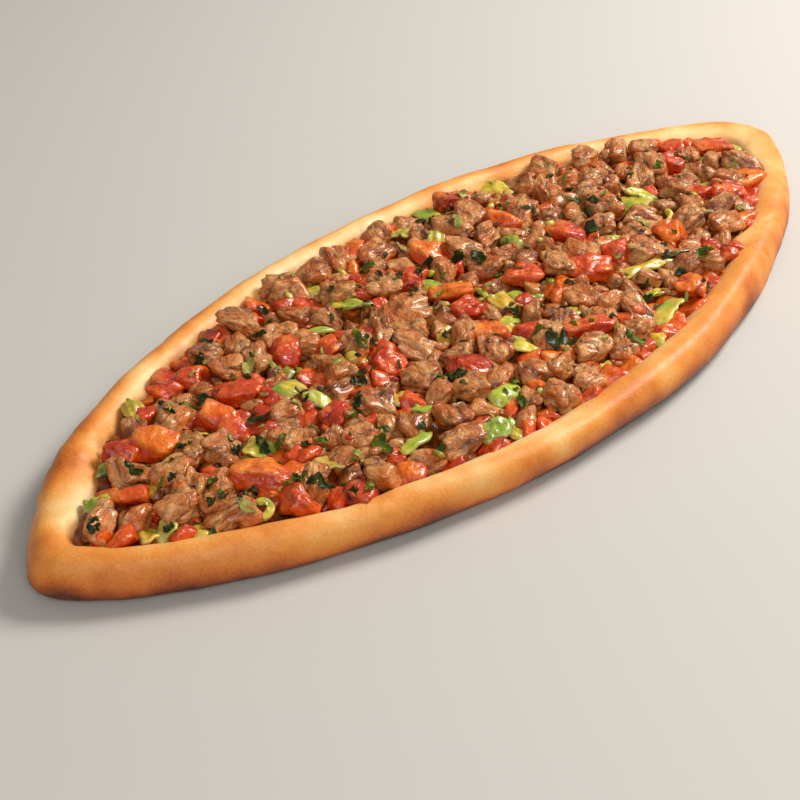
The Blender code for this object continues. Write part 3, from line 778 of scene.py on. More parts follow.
def settle(places, radii, fixed, fixed_radii, edge, steps):
    """Push discs apart, off the fixed ones and in from the wall, until they lie close."""
    for _ in range(steps):
        away = places[:, None] - places[None]
        gap = np.linalg.norm(away, axis=2) + 1e-9
        near = np.clip((radii[:, None] + radii[None]) * MEAT_CLOSE - gap, 0, None)
        np.fill_diagonal(near, 0)
        places = places + (away / gap[..., None] * near[..., None]).sum(1) * MEAT_PUSH
        away = places[:, None] - fixed[None]
        gap = np.linalg.norm(away, axis=2) + 1e-9
        near = np.clip(radii[:, None] * TOPPING_CLOSE + fixed_radii[None] - gap, 0, None)
        places = places + (away / gap[..., None] * near[..., None]).sum(1) * TOPPING_PUSH
        wall = nearest_wall(places, edge)
        away = places - wall
        outside = np.einsum("nd,nd->n", away, wall - edge.mean(0)) > 0
        gap = np.linalg.norm(away, axis=1) + 1e-9
        away = away / gap[:, None] * np.where(outside, -1, 1)[:, None]
        near = np.clip(radii * WALL_CLOSE - np.where(outside, -gap, gap), 0, None)
        places = places + away * near[:, None]
    return places


def fill_gaps(places, sizes, edge, smallest, largest):
    """Further discs where room is left: of many drawn places, the one with the most room each time."""
    drawn = draw.uniform((-0.222, -0.086), (0.222, 0.086), (GAP_TRIES, 2))
    wall = nearest_wall(drawn, edge[::3])
    inside = np.einsum("nd,nd->n", drawn - wall, wall - edge.mean(0)) < 0
    drawn = drawn[inside]
    room = np.linalg.norm(drawn - wall[inside], axis=1) - WALL_ROOM
    for place, size in zip(places, sizes):
        room = np.minimum(room, np.linalg.norm(drawn - place, axis=1) - size * GAP_CLOSE)
    found = []
    while room.max() > smallest:
        best = room.argmax()
        size = min(room[best] * GAP_GROWTH, largest)
        found.append((*drawn[best], size))
        room = np.minimum(room, np.linalg.norm(drawn - drawn[best], axis=1) - size * GAP_CLOSE)
    return np.array(found)


def many_meshes(name, points, quads, triangles):
    """One mesh of many like pieces from their points in one array."""
    step = (np.arange(len(points)) * points.shape[1])[:, None, None]
    return food_mesh(name, points.reshape(-1, 3), (quads[None] + step).reshape(-1, 4),
                     (triangles[None] + step).reshape(-1, 3))


def serve_many(name, points, faces, tint, grain, look, material_slot, *nodes):
    """Many like pieces as one object, each with its tint, and its own stretch of the grain's noise."""
    mesh = many_meshes(name, points, *faces)
    add_values(mesh, "tint", tint.reshape(-1, 3))
    add_values(mesh, "grain", (grain + np.arange(len(points))[:, None, None] * 0.31).reshape(-1, 3))
    serve(name, mesh, look, material_slot, *nodes)
    return mesh


def lights(*colour_list):
    """Light values of several colours."""
    return np.array([paint(*colour)[:3] for colour in colour_list])


def towards(tint, colour, share):
    """Tints carried towards a colour by a share at each point."""
    return tint + (lights(colour)[0] - tint) * np.clip(share, 0, 1)[..., None]


def fine_fibres():
    """Fibres along a piece's length: a noise drawn out on x, as a shade about one and as a height."""
    tree, given, made = effect("fine_fibres", {"Fineness": 900.0, "Depth": 0.3}, ["Shade", "Height"])
    thread = speckle(tree, given["Place"], given["Fineness"], 4.0, (0.20, 1.0, 1.0))
    swing = between(tree, thread, 0.30, 0.70, -1.0, 1.0)
    join(tree, made["Shade"], maths(tree, "ADD", maths(tree, "MULTIPLY", swing, given["Depth"]), 1.0))
    join(tree, made["Height"], thread)
    return tree


FIBRES = fine_fibres()


def fibrous(tree, fineness, depth):
    """The grain of a piece, its own tint shaded by the fibres, and the fibres' height."""
    grain = stored(tree, "grain", "Vector")
    fibres = placed(tree, FIBRES, Place=grain, Fineness=fineness, Depth=depth)
    tone = blend(tree, 1.0, stored(tree, "tint", "Color"), fibres["Shade"], "MULTIPLY")
    return grain, tone, fibres["Height"]


def blotched(tree, tone, spots, low, high, share, colour):
    """A tone carried towards a colour, up to a share, as the spots go from low to high."""
    return blend(tree, between(tree, spots, low, high, 0.0, share), tone, paint(*colour))


def meat_material():
    """Seared meat: its own tint with fine fibres, browned spots and dark pores under a film of fat."""
    made, tree, shader = food_material("seared_meat", Subsurface_Weight=0.06, Subsurface_Scale=0.0015,
                                       Subsurface_Radius=(1.0, 0.4, 0.2), Specular_IOR_Level=0.5,
                                       Coat_Weight=0.45, Coat_Roughness=0.10)
    grain, tone, threads = fibrous(tree, 860.0, 0.15)
    browned = speckle(tree, grain, 190, 3.0)
    tone = blotched(tree, tone, browned, 0.52, 0.66, 0.55, (190, 86, 12))
    pale = speckle(tree, grain, 170, 3.0, (0.7, 1.0, 1.2))
    tone = blotched(tree, tone, pale, 0.50, 0.66, 0.60, (224, 166, 100))
    dark = speckle(tree, grain, 330, 3.0, (0.5, 1.0, 1.0))
    join(tree, shader["Base Color"], blotched(tree, tone, dark, 0.42, 0.28, 0.60, (80, 22, 2)))
    oiled(tree, shader, grain, 200.0, 0.20, 0.50)
    wrinkles = maths(tree, "MULTIPLY", speckle(tree, grain, 250, 4.0, (0.8, 1.0, 1.0)), 4.6)
    join(tree, shader["Normal"], bumped(tree, maths(tree, "ADD", threads, wrinkles), 0.0009, 0.9))
    return made


def heap_edge(count):
    """Line where the heap ends: the wall's ring at mid height, drawn in where the heap slopes down."""
    turns = even_turns(count)
    ring = wall_ring(turns, EDGE_HEIGHT)[:, :2]
    tangent = np.roll(ring, -1, axis=0) - np.roll(ring, 1, axis=0)
    outward = np.stack([tangent[:, 1], -tangent[:, 0]], 1)
    outward /= np.linalg.norm(outward, axis=1)[:, None]
    return ring - outward * added_places(turns, DRAWN_IN)[:, None]


EDGE = heap_edge(EDGE_STATIONS)
radii = np.concatenate([draw.uniform(low, high, count) for count, low, high in MEAT_MIX])
start = draw.uniform((-0.215, -0.078), (0.215, 0.078), (6000, 2))
within = np.abs(start[:, 1] - EDGE.mean(0)[1]) < 0.074 * (1 - (np.abs(start[:, 0]) / 0.216) ** 2.0)
meat_places = settle(start[within][:len(radii)], radii, TAKEN[:, :2], TAKEN[:, 2], EDGE, SETTLE_STEPS)
gaps = fill_gaps(np.concatenate([meat_places, TAKEN[:, :2]]), np.concatenate([radii, TAKEN[:, 2]]), EDGE,
                 SMALLEST_GAP, LARGEST_GAP)
kind = draw.uniform(0, 1, len(gaps))
is_meat = (kind < GAP_MEAT_SHARE) | (gaps[:, 2] > WIDE_GAP)
meat_places = np.concatenate([meat_places, gaps[is_meat, :2]])
radii = np.concatenate([radii, gaps[is_meat, 2] * GAP_MEAT_SIZE])


def gap_rows(chosen, long, narrow, names):
    """Rows for gaps filled with tomato or pepper: place, length, width, turn and colour."""
    x, y = ((gaps[chosen, :2] + MIDDLE) / MM).T
    across = gaps[chosen, 2] * 2 / MM
    count = len(across)
    return list(zip(x, y, across * draw.uniform(1.0, long, count), across * draw.uniform(*narrow, count),
                    draw.uniform(-70, 20, count), np.array(names)[draw.integers(0, len(names), count)]))


GAP_TOMATOES = gap_rows(~is_meat & (kind < GAP_TOMATO_SHARE), 1.7, (0.95, 1.2),
                        ("red", "scarlet", "orange", "scarlet", "deep"))
GAP_PEPPERS = gap_rows(~is_meat & (kind >= GAP_TOMATO_SHARE), 1.7, (0.6, 0.9),
                       ("lime", "yellow", "green", "olive"))


MEAT_COLOURS = ((188, 113, 50), (170, 97, 38), (150, 79, 26), (206, 137, 72), (180, 99, 34), (196, 125, 62))


def meat_piece(name, chosen, columns, rows, look):
    """Torn blocks at the chosen places, each bowed, leaning its own way and sunk or heaped a little."""
    ways, *faces = sphere_grid(columns, rows)
    size = radii[chosen]
    count = len(size)
    halves = np.stack([size * draw.uniform(0.98, 1.30, count), size * draw.uniform(0.70, 0.94, count),
                       np.minimum(size * draw.uniform(0.62, 0.88, count), THICKEST_HALF)], 1)
    local, lobe, strand, swell = torn_blocks(ways, halves, draw.uniform(3.0, 6.0, count), 8,
                                             np.full(count, 0.150))
    bow = draw.uniform(-0.16, 0.16, count) / size
    local[..., 2] += bow[:, None] * local[..., 0] ** 2
    points = np.einsum("nab,ngb->nga", tilted(draw.uniform(0, 360, count), 26), local)
    points[..., :2] += meat_places[chosen][:, None]
    raised = np.where(draw.uniform(0, 1, count) < MEAT_RAISED, draw.uniform(0, MEAT_SHIFT, count), 0)
    rise = MEAT_FOOT + raised - draw.uniform(0, MEAT_SHIFT, count) - points[..., 2].min(1)
    points[..., 2] += rise[:, None]
    points[..., 2] -= np.clip(points[..., 2] - MEAT_CROWN, 0, None) * MEAT_PRESSED
    kinds = lights(*MEAT_COLOURS)
    tint = kinds[draw.integers(0, len(kinds), count)][:, None]
    tint = tint * draw.uniform(0.82, 1.12, (count, 1, 1)) + 0 * local
    # Painted shade in the folds between the lobes and strands of each piece.
    fold_shade = 0.80 * np.exp(-(lobe / 0.11) ** 2) + 0.22 * np.exp(-(strand / 0.10) ** 2)
    tint = towards(tint, (206, 102, 18), 0.75 * np.clip(lobe * 1.5 - 0.35 + 0.4 * swell, 0, 1))
    tint = towards(tint, (232, 174, 108), 0.65 * np.clip(noise(local + 3, 0.0055, 47) * 1.8 - 0.25, 0, 1))
    tint = towards(tint, (84, 24, 2), fold_shade)
    # Darker low on each piece: partly juice soaked into its foot, partly painted shade.
    tint = towards(tint, (92, 26, 2), 0.85 * np.clip((MEAT_FOOT + 0.0066 - points[..., 2]) / 0.007, 0, 1))
    serve_many(name, points, faces, tint, local, look, "cooked_meat", "filling")
    return points.reshape(-1, 3)


seared = meat_material()
order = np.arange(len(radii))
HEAPED = [meat_piece("meat_cubes", order[:LARGE_MEAT:2], 50, 29, seared),
          meat_piece("meat_torn", order[1:LARGE_MEAT:2], 50, 29, seared),
          meat_piece("meat_small", order[LARGE_MEAT:], 26, 15, seared)]


# The tomato
# Ripe tomato diced with its skin on. The firm pieces keep flat orange faces and red sides; the
# soft ones have cooked down to wet red pulp, folded and wrinkled.

TOMATO_COLOURS = {"red": ((184, 36, 2), (214, 72, 8)), "scarlet": ((192, 44, 2), (228, 88, 12)),
                  "orange": ((202, 60, 4), (236, 116, 12)), "deep": ((156, 28, 2), (194, 50, 4))}
SMALL_TOMATO_TOPS = (0.0190, 0.0222)


def tomato_material():
    """Cooked tomato: its own tint, fibres and paler veins in the flesh, under a wet gloss."""
    made, tree, shader = food_material("wet_tomato", Subsurface_Weight=0.15, Subsurface_Scale=0.002,
                                       Subsurface_Radius=(1.0, 0.22, 0.10), Specular_IOR_Level=0.5,
                                       Coat_Weight=0.50, Coat_Roughness=0.08)
    grain, tone, _ = fibrous(tree, 420.0, 0.16)
    pale = speckle(tree, grain, 230, 4.0)
    tone = blotched(tree, tone, pale, 0.50, 0.66, 0.65, (232, 112, 22))
    deep = speckle(tree, grain, 170, 3.0)
    join(tree, shader["Base Color"], blotched(tree, tone, deep, 0.46, 0.30, 0.60, (168, 30, 2)))
    oiled(tree, shader, grain, 300.0, 0.18, 0.46)
    wrinkles = maths(tree, "ADD", speckle(tree, grain, 420, 3.0),
                     maths(tree, "MULTIPLY", speckle(tree, grain, 170, 2.0), 2.5))
    join(tree, shader["Normal"], bumped(tree, wrinkles, 0.0010, 0.85))
    return made


def diced_tomato(ways, firm, halves, colour_names):
    """Firm pieces are blocks with flat tops, bowed a little; soft ones are folded lumps. The top of a
    firm piece and the lobes of a soft one have the flesh's colour, and sides and folds the skin's. The
    folds of a soft one are darkened further as painted shade."""
    lumpiness = np.where(firm, 0.050, 0.12)
    local, lobe, _, swell = torn_blocks(ways, halves, np.where(firm, 8.0, 4.2), 6, lumpiness)
    across = local / halves[:, None]
    bow = draw.uniform(-0.0010, 0.0010, len(halves))[:, None]
    local[..., 2] += bow * (across[..., 0] ** 2 - 0.3) + 0.0005 * noise(local + 5, 0.004, 48)
    skin = lights(*[TOMATO_COLOURS[name][0] for name in colour_names])[:, None]
    flesh = lights(*[TOMATO_COLOURS[name][1] for name in colour_names])[:, None]
    block = firm[:, None].astype(float)
    upper = np.clip(across[..., 2] * 2.2 - 0.9 + 0.5 * swell, 0, 1) * block
    share = upper + np.clip(0.15 + 1.1 * lobe, 0, 1) * (1 - block)
    tint = skin + (flesh - skin) * share[..., None]
    paler = np.clip(noise(local + 7, 0.007, 49) * 2 - 0.2, 0, 1)
    tint = towards(tint, (250, 160, 64), 0.45 * upper * paler)
    # Painted shade in the folds of the soft pieces.
    tint = towards(tint, (122, 20, 2), 0.6 * (1 - block) * np.exp(-(lobe / 0.12) ** 2))
    return local, tint


def serve_tomatoes(look):
    """Each piece of tomato over the CAD's own, turned as it is and a little tilted."""
    ways, *faces = sphere_grid(44, 30)
    forms, lengths, widths, turns, tones = zip(*TOMATOES)
    boxes = np.array([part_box(name) for name in TOMATO_NODES])
    heights = boxes[:, 1, 2] - boxes[:, 0, 2] + TOPPING_RISE
    halves = np.stack([np.array(lengths) * MM * 0.65, np.array(widths) * MM * 0.66, heights * 0.54], 1)
    local, tint = diced_tomato(ways, np.array(forms) == "cut", halves, tones)
    points = np.einsum("nab,ngb->nga", tilted(turns, 12), local) + boxes.mean(1)[:, None]
    points[..., 2] += TOPPING_RISE
    for number, name in enumerate(TOMATO_NODES):
        one = slice(number, number + 1)
        serve_many(name.replace("_", "_piece_"), points[one], faces, tint[one],
                   local[one] + number * 0.27, look, "cooked_tomato", name)
    return points.reshape(-1, 3)


def serve_small_tomatoes(look):
    """The smaller pieces, half sunk between the meat, as one mesh."""
    ways, *faces = sphere_grid(26, 16)
    rows = list(SMALL_TOMATOES) + GAP_TOMATOES
    x, y, lengths, widths, turns, tones = zip(*rows)
    count = len(x)
    half_heights = draw.uniform(0.0028, 0.0038, count)
    halves = np.stack([np.array(lengths) * MM * 0.60, np.array(widths) * MM * 0.60, half_heights], 1)
    local, tint = diced_tomato(ways, draw.uniform(0, 1, count) < 0.65, halves, tones)
    points = np.einsum("nab,ngb->nga", tilted(turns, 26), local)
    points[..., :2] += on_bread(rows)[:, None]
    points[..., 2] += (draw.uniform(*SMALL_TOMATO_TOPS, count) - points[..., 2].max(1))[:, None]
    serve_many("tomato_small", points, faces, tint, local, look, "cooked_tomato")
    return points.reshape(-1, 3)


wet_tomato = tomato_material()
HEAPED += [serve_tomatoes(wet_tomato), serve_small_tomatoes(wet_tomato)]


# The green pepper
# Long green peppers sliced into strips, half rings and flaps, soft and curled from the oven. The
# skin is lime green going yellow, blistered and charred black in spots.

PEPPER_COLOURS = {"lime": (172, 186, 40), "green": (132, 156, 34), "olive": (156, 134, 30),
                  "yellow": (214, 168, 34), "pale": (206, 202, 96)}
SMALL_PEPPER_TOPS = (0.0185, 0.0210)


def pepper_material():
    """Roast pepper: its own tint, lengthwise streaks, char at its edges and blisters, oily skin."""
    made, tree, shader = food_material("roast_pepper", Subsurface_Weight=0.25, Subsurface_Scale=0.003,
                                       Subsurface_Radius=(0.8, 1.0, 0.2), Specular_IOR_Level=0.55,
                                       Coat_Weight=0.40, Coat_Roughness=0.12)
    grain, tone, _ = fibrous(tree, 480.0, 0.20)
    mottled = speckle(tree, grain, 260, 4.0)
    tone = blotched(tree, tone, mottled, 0.52, 0.70, 0.45, (206, 200, 92))
    char = maths(tree, "ADD", speckle(tree, grain, 190, 4.0), stored(tree, "char"))
    join(tree, shader["Base Color"], blotched(tree, tone, char, 0.68, 0.84, 0.92, (34, 26, 12)))
    oiled(tree, shader, grain, 240.0, 0.20, 0.46)
    join(tree, shader["Normal"], bumped(tree, speckle(tree, grain, 330, 4.0), 0.0007, 0.7))
    return made


def ribbons(length, width, thickness, bend, arch, cup, wobble, steps, around, bluntness=5.0):
    """Rounded flat sections carried along bent, arched paths, cupped across, with uneven edges. The
    half width falls off as one less the length to the bluntness, rooted."""
    given = (length, width, thickness, bend, arch, cup, wobble)
    length, width, thickness, bend, arch, cup, wobble = (
        np.broadcast_to(one, length.shape)[:, None, None] for one in given)
    number = np.arange(len(length))[:, None, None] * 1.7
    bend = np.where(np.abs(bend) < 0.05, 0.05, bend)
    along = np.linspace(-1, 1, steps)[None, :, None]
    round_ = (np.arange(around) * 2 * math.pi / around)[None, None]
    section_y = np.sign(np.cos(round_)) * np.abs(np.cos(round_)) ** 0.75 + 0 * along + 0 * length
    section_z = np.sign(np.sin(round_)) * np.abs(np.sin(round_)) ** 0.75
    tip = np.clip(1 - np.abs(along) ** bluntness, 0, 1) ** 0.5
    side = np.sign(section_y) * 0.9
    at_edge = np.stack([along * 3.0 + number + side, side + 0 * number, number + side], -1)
    out = width / 2 * tip * (1 + wobble * noise(at_edge, 0.8, 51)) * section_y
    up = thickness / 2 * np.maximum(tip, 0.06) * section_z
    up = up + cup * (section_y ** 2 - 0.3) * tip + arch * (1 - along ** 2)
    on_face = np.stack([along * 2 + 0 * out, out / width * 2, number + 0 * out], -1)
    up = up + 0.0007 * noise(on_face, 0.7, 52)
    angle = bend * along / 2
    x = np.sin(angle) * (length / bend - out)
    y = (1 - np.cos(angle)) * length / bend + np.cos(angle) * out
    grid = np.stack([x, y, up], -1)
    grain = np.stack([along * length / 2 + 0 * out, out, up], -1)
    rim = np.maximum(np.abs(section_y) ** 3, np.abs(along) ** 6)
    count = len(length)

    def capped(values, ends):
        """Values of a grid put between those of its two end points."""
        return np.concatenate([ends[:, :1], values.reshape(count, steps * around, -1), ends[:, 1:]], 1)

    points = capped(grid, np.stack([grid[:, 0].mean(1), grid[:, -1].mean(1)], 1))
    grain = capped(grain, np.stack([grain[:, 0].mean(1), grain[:, -1].mean(1)], 1))
    rim = capped(rim, np.ones((count, 2, 1)))[..., 0]
    here = 1 + np.arange(around)
    there = 1 + (np.arange(around) + 1) % around
    last = (steps - 1) * around
    first_cap = np.stack([here, there, np.zeros(around, int)], 1)
    last_cap = np.stack([there + last, here + last, np.full(around, steps * around + 1)], 1)
    quads = wrapped_quads(steps, around)[:, ::-1] + 1
    return points, (quads, np.concatenate([first_cap, last_cap])), grain, rim


def pepper_shapes(rows, steps, around):
    """Strips, rings and flaps of pepper from rows of form, length, width and turn, with their tints."""
    forms, lengths, widths, turns, tones = zip(*rows)
    form = np.array(forms)
    count = len(form)
    long = np.array(lengths) * MM
    wide = np.array(widths) * MM
    is_ring = form == "ring"
    is_arc = form == "arc"
    round_bend = math.radians(300)
    length = np.where(is_ring, round_bend / 2 * (long - wide), long * 1.10)
    width = np.where(is_ring, wide * 0.9, np.where(is_arc, wide * 1.05, wide * 1.22))
    bend = np.where(is_ring, round_bend, np.where(is_arc, math.radians(85), draw.uniform(-0.6, 0.6, count)))
    arch = np.where(is_ring, 0.0, np.where(is_arc, 0.0022, draw.uniform(0.0008, 0.0024, count)))
    cup = np.where(is_ring | is_arc, -0.0003, draw.uniform(-0.0022, 0.0022, count))
    wobble = np.where(is_ring | is_arc, 0.06, 0.13)
    points, faces, grain, rim = ribbons(length, width, 0.0023, bend, arch, cup, wobble, steps, around, 9.0)
    slant = np.where(is_ring, 0.0, draw.uniform(-0.55, 0.55, count))
    points[..., 0] += slant[:, None] * points[..., 1]
    points = np.einsum("nab,ngb->nga", tilted(turns, 16), points)
    points -= ((points.max(1) + points.min(1)) / 2)[:, None]
    tint = lights(*[PEPPER_COLOURS[name] for name in tones])[:, None]
    tint = tint * draw.uniform(0.88, 1.10, (count, 1, 1))
    ripe = noise(grain + np.arange(count)[:, None, None], 0.008, 53)
    tint = towards(tint + 0 * grain, (232, 190, 56), 0.75 * np.clip(ripe * 1.5 - 0.1, 0, 1))
    tint = towards(tint, (128, 152, 40), 0.6 * np.clip(-ripe * 1.5 - 0.3, 0, 1))
    tint = towards(tint, (226, 220, 150), 0.35 * rim)
    char = 0.03 + rim * 0.12 + draw.uniform(-0.08, 0.10, count)[:, None]
    return points, faces, grain, tint, char


def serve_peppers(look):
    """Each piece of pepper over the CAD's own, and the smaller ones between the meat as one mesh."""
    points, faces, grain, tint, char = pepper_shapes(PEPPERS, 36, 20)
    points += box_middles(PEPPER_NODES)[:, None] + (0, 0, TOPPING_RISE)
    for number, name in enumerate(PEPPER_NODES):
        one = slice(number, number + 1)
        mesh = serve_many(name.replace("_", "_piece_"), points[one], faces, tint[one],
                          grain[one] + number * 0.27, look, "cooked_pepper", name)
        add_values(mesh, "char", char[number])
    small_rows = list(SMALL_PEPPERS) + GAP_PEPPERS
    rows = [("arc" if row[3] < 5 else "flap", *row[2:]) for row in small_rows]
    small, faces, grain, tint, char = pepper_shapes(rows, 20, 12)
    small[..., :2] += on_bread(small_rows)[:, None]
    small[..., 2] += (draw.uniform(*SMALL_PEPPER_TOPS, len(rows)) - small[..., 2].max(1))[:, None]
    mesh = serve_many("pepper_small", small, faces, tint, grain, look, "cooked_pepper")
    add_values(mesh, "char", char.reshape(-1))
    return [points.reshape(-1, 3), small.reshape(-1, 3)]


roast_pepper = pepper_material()
HEAPED += serve_peppers(roast_pepper)


# Crumbs in the gaps
# Scraps of meat, tomato and pepper that came off in the pan. They lie in the gaps of the heap,
# with a few on top, and each kind is one mesh of small uneven lumps.

CELL = 0.0007
LOW_CORNER = np.array([-0.245, -0.105])
CELLS = (700, 300)


def widened(level, reach, pick):
    """Highest or lowest of the cells within a reach, first one way and then the other."""
    for axis in (0, 1):
        level = pick.reduce([np.roll(level, step, axis) for step in range(-reach, reach + 1)])
    return level


def softened(level, times):
    """Mean of each cell and its neighbours, a number of times."""
    for _ in range(times):
        for axis in (0, 1):
            level = (np.roll(level, 1, axis) + level * 2 + np.roll(level, -1, axis)) / 4
    return level


def heap_top(groups):
    """Height of the heap on a square grid: the highest point in each cell, with pinholes closed."""
    level = np.full(CELLS, BED_HEIGHT)
    for points in groups:
        cell = ((points[:, :2] - LOW_CORNER) / CELL).astype(int)
        np.maximum.at(level, (cell[:, 0], cell[:, 1]), points[:, 2])
    return widened(widened(level, 1, np.maximum), 1, np.minimum)


def height_at(level, flat):
    """Height of the heap at places, mixed from the four cells round each."""
    cell = (flat - LOW_CORNER) / CELL - 0.5
    low = np.floor(cell).astype(int)
    share = cell - low
    total = 0.0
    for x, y in np.ndindex(2, 2):
        weight = np.abs(1 - x - share[..., 0]) * np.abs(1 - y - share[..., 1])
        total = total + level[low[..., 0] + x, low[..., 1] + y] * weight
    return total


TOP = heap_top(HEAPED)
WIDE_TOP = softened(TOP, 40)


def strewn(count, depth):
    """Places inside the wall, the more of them the lower the heap lies against its surroundings."""
    flat = draw.uniform((-0.215, -0.080), (0.215, 0.080), (count * 40, 2))
    wall = nearest_wall(flat, EDGE[::4])
    inside = ((wall - EDGE.mean(0)) ** 2).sum(1) > ((flat - EDGE.mean(0)) ** 2).sum(1) * 1.06
    hollow = height_at(WIDE_TOP, flat) - height_at(TOP, flat)
    kept = inside & (hollow + draw.normal(0, 0.0012, len(flat)) > depth)
    return flat[kept][:count]


def serve_crumbs(name, count, low, high, depth, tones, look, material_slot):
    """Uneven lumps of a few faces, half sunk where they lie."""
    ways, *faces = sphere_grid(8, 5)
    flat = strewn(count, depth)
    count = len(flat)
    size = draw.uniform(low, high, count)
    halves = size[:, None] * draw.uniform((0.9, 0.5, 0.30), (1.7, 1.0, 0.60), (count, 3))
    local, _, _, swell = torn_blocks(ways, halves, np.full(count, 3.5), 5, np.full(count, 0.30))
    points = np.einsum("nab,ngb->nga", tilted(draw.uniform(0, 360, count), 35), local)
    points[..., :2] += flat[:, None]
    points[..., 2] += (height_at(TOP, flat) - halves[:, 2] * 0.1)[:, None]
    tint = lights(*tones)[draw.integers(0, len(tones), count)][:, None]
    tint = tint * (0.9 + 0.25 * swell[..., None])
    mesh = serve_many(name, points, faces, tint + 0 * points, local, look, material_slot)
    add_values(mesh, "char", draw.uniform(-0.08, 0.14, count).repeat(len(ways)))


serve_crumbs("meat_crumbs", 220, 0.0012, 0.0028, 0.0016,
             ((176, 100, 44), (150, 76, 28), (206, 132, 72), (120, 52, 14)), seared, "cooked_meat")
serve_crumbs("tomato_crumbs", 80, 0.0014, 0.0028, 0.0022, ((196, 46, 8), (220, 84, 18), (170, 34, 4)),
             wet_tomato, "cooked_tomato")
serve_crumbs("pepper_crumbs", 45, 0.0014, 0.0028, 0.0016, ((190, 160, 30), (156, 160, 30), (206, 190, 84)),
             roast_pepper, "cooked_pepper")


# The parsley
# Flat parsley chopped roughly and strewn on before baking. The leaves have wilted dark and cling
# to what they lie on, the stems have paled, and the finest shreds are scattered all over.

# Place x and y, length, width, turn and kind of each leaf that stands out.
LEAVES = (
    (-180, 16, 12, 6, -80, "dark"), (-212, -1, 8, 5, 13, "dark"), (-176, 36, 8, 4, 31, "dark"),
    (-149, 32, 9, 2, -76, "dark"), (-144, 39, 11, 5, -60, "dark"), (-137, 34, 12, 6, -70, "green"),
    (-132, 29, 13, 7, 79, "dark"), (-139, 32, 16, 3, 72, "pale"), (-146, 34, 12, 2, 40, "pale"),
    (-143, -3, 7, 6, 10, "dark"), (-169, -25, 6, 4, 0, "dark"), (-182, -34, 8, 5, 50, "green"),
    (-166, -34, 10, 4, -60, "pale"), (-175, -2, 5, 4, 0, "dark"), (-169, 10, 7, 3, -20, "green"),
    (-165, -14, 6, 3, -20, "green"), (-191, -18, 6, 4, 0, "dark"), (-161, 9, 6, 4, 0, "dark"),
    (-146, 11, 7, 4, -10, "dark"), (-110, 28, 9, 4, 70, "dark"), (-124, 5, 14, 6, -23, "dark"),
    (-135, -9, 13, 5, 75, "dark"), (-77, -5, 9, 6, -45, "dark"), (-89, -16, 12, 5, 31, "dark"),
    (-94, -35, 10, 5, -38, "green"), (-102, -44, 11, 8, -73, "green"), (-130, -15, 8, 3, 8, "green"),
    (-124, -23, 6, 5, 0, "dark"), (-118, -25, 8, 3, -40, "green"), (-113, -41, 7, 3, -60, "pale"),
    (-143, -37, 13, 6, -30, "green"), (-138, -46, 15, 5, -45, "dark"), (-124, -58, 7, 4, 10, "green"),
    (-130, -55, 6, 5, 0, "dark"), (-109, -2, 8, 3, -60, "pale"), (-99, -24, 8, 6, 0, "green"),
    (-104, 61, 13, 5, 72, "dark"), (-67, 66, 8, 5, 80, "dark"), (-72, 58, 6, 5, 0, "green"),
    (-38, 52, 5, 4, 0, "green"), (-66, 38, 12, 5, 25, "dark"), (-85, 48, 10, 4, -70, "dark"),
    (-59, 12, 13, 5, 79, "green"), (-55, 10, 7, 4, -60, "dark"), (-72, -1, 8, 5, 10, "dark"),
    (-104, 34, 8, 5, 10, "pale"), (-94, 28, 9, 4, -60, "pale"), (-116, 52, 6, 4, 0, "dark"),
    (-24, -6, 6, 4, 0, "dark"), (-49, -33, 16, 10, -40, "dark"), (-54, -31, 8, 4, 50, "green"),
    (-83, -47, 6, 5, 0, "dark"), (-32, -53, 5, 4, 0, "green"), (-41, -64, 10, 5, 66, "green"),
    (-89, -63, 7, 5, 0, "green"), (40, 67, 13, 5, -30, "dark"), (52, 64, 7, 3, -40, "dark"),
    (62, 62, 10, 4, -60, "pale"), (38, 61, 6, 4, 0, "dark"), (47, 56, 5, 3, 0, "dark"),
    (41, 47, 11, 5, 60, "pale"), (13, 57, 15, 3, 66, "pale"), (8, 36, 12, 7, 11, "dark"),
    (-1, 32, 6, 5, 0, "dark"), (22, 30, 9, 5, -45, "dark"), (29, 22, 13, 7, 77, "dark"),
    (-11, 56, 10, 5, -60, "green"), (-14, 45, 14, 3, 60, "dark"), (-13, 25, 8, 4, -50, "dark"),
    (-7, 14, 8, 3, -25, "pale"), (-14, 16, 4, 3, 0, "dark"), (-10, 36, 8, 3, 60, "dark"),
    (-32, 36, 9, 3, 42, "dark"), (26, 7, 7, 4, 42, "green"), (36, 9, 9, 4, -20, "green"),
    (11, -2, 10, 4, -7, "dark"), (11, -16, 10, 4, 75, "dark"), (72, 43, 8, 4, -40, "pale"),
    (78, 32, 9, 3, -40, "dark"), (42, -25, 14, 6, -30, "dark"), (96, -41, 20, 5, -12, "dark"),
    (104, -43, 9, 7, 0, "dark"), (85, -53, 8, 6, 0, "dark"), (59, -52, 11, 5, -30, "dark"),
    (4, -48, 18, 10, -45, "dark"), (0, -38, 6, 5, 0, "green"), (26, -68, 5, 5, 0, "green"),
    (28, -72, 10, 6, 62, "green"), (1, -54, 7, 3, 30, "pale"), (31, -56, 7, 6, 0, "dark"),
    (99, -33, 9, 4, 26, "dark"), (111, -48, 11, 7, -70, "green"), (104, 15, 11, 5, 82, "dark"),
    (103, 25, 9, 4, -50, "green"), (89, 2, 11, 7, 80, "dark"), (105, -16, 11, 5, -75, "pale"),
    (154, 12, 8, 6, 0, "green"), (175, 12, 11, 4, -40, "dark"), (139, 19, 7, 5, 0, "dark"),
    (112, 34, 9, 3, -45, "dark"), (115, 6, 7, 4, 0, "green"), (85, -67, 7, 4, 0, "dark"),
)
LEAF_COLOURS = {"dark": (34, 40, 5), "green": (74, 90, 12), "pale": (156, 154, 76)}
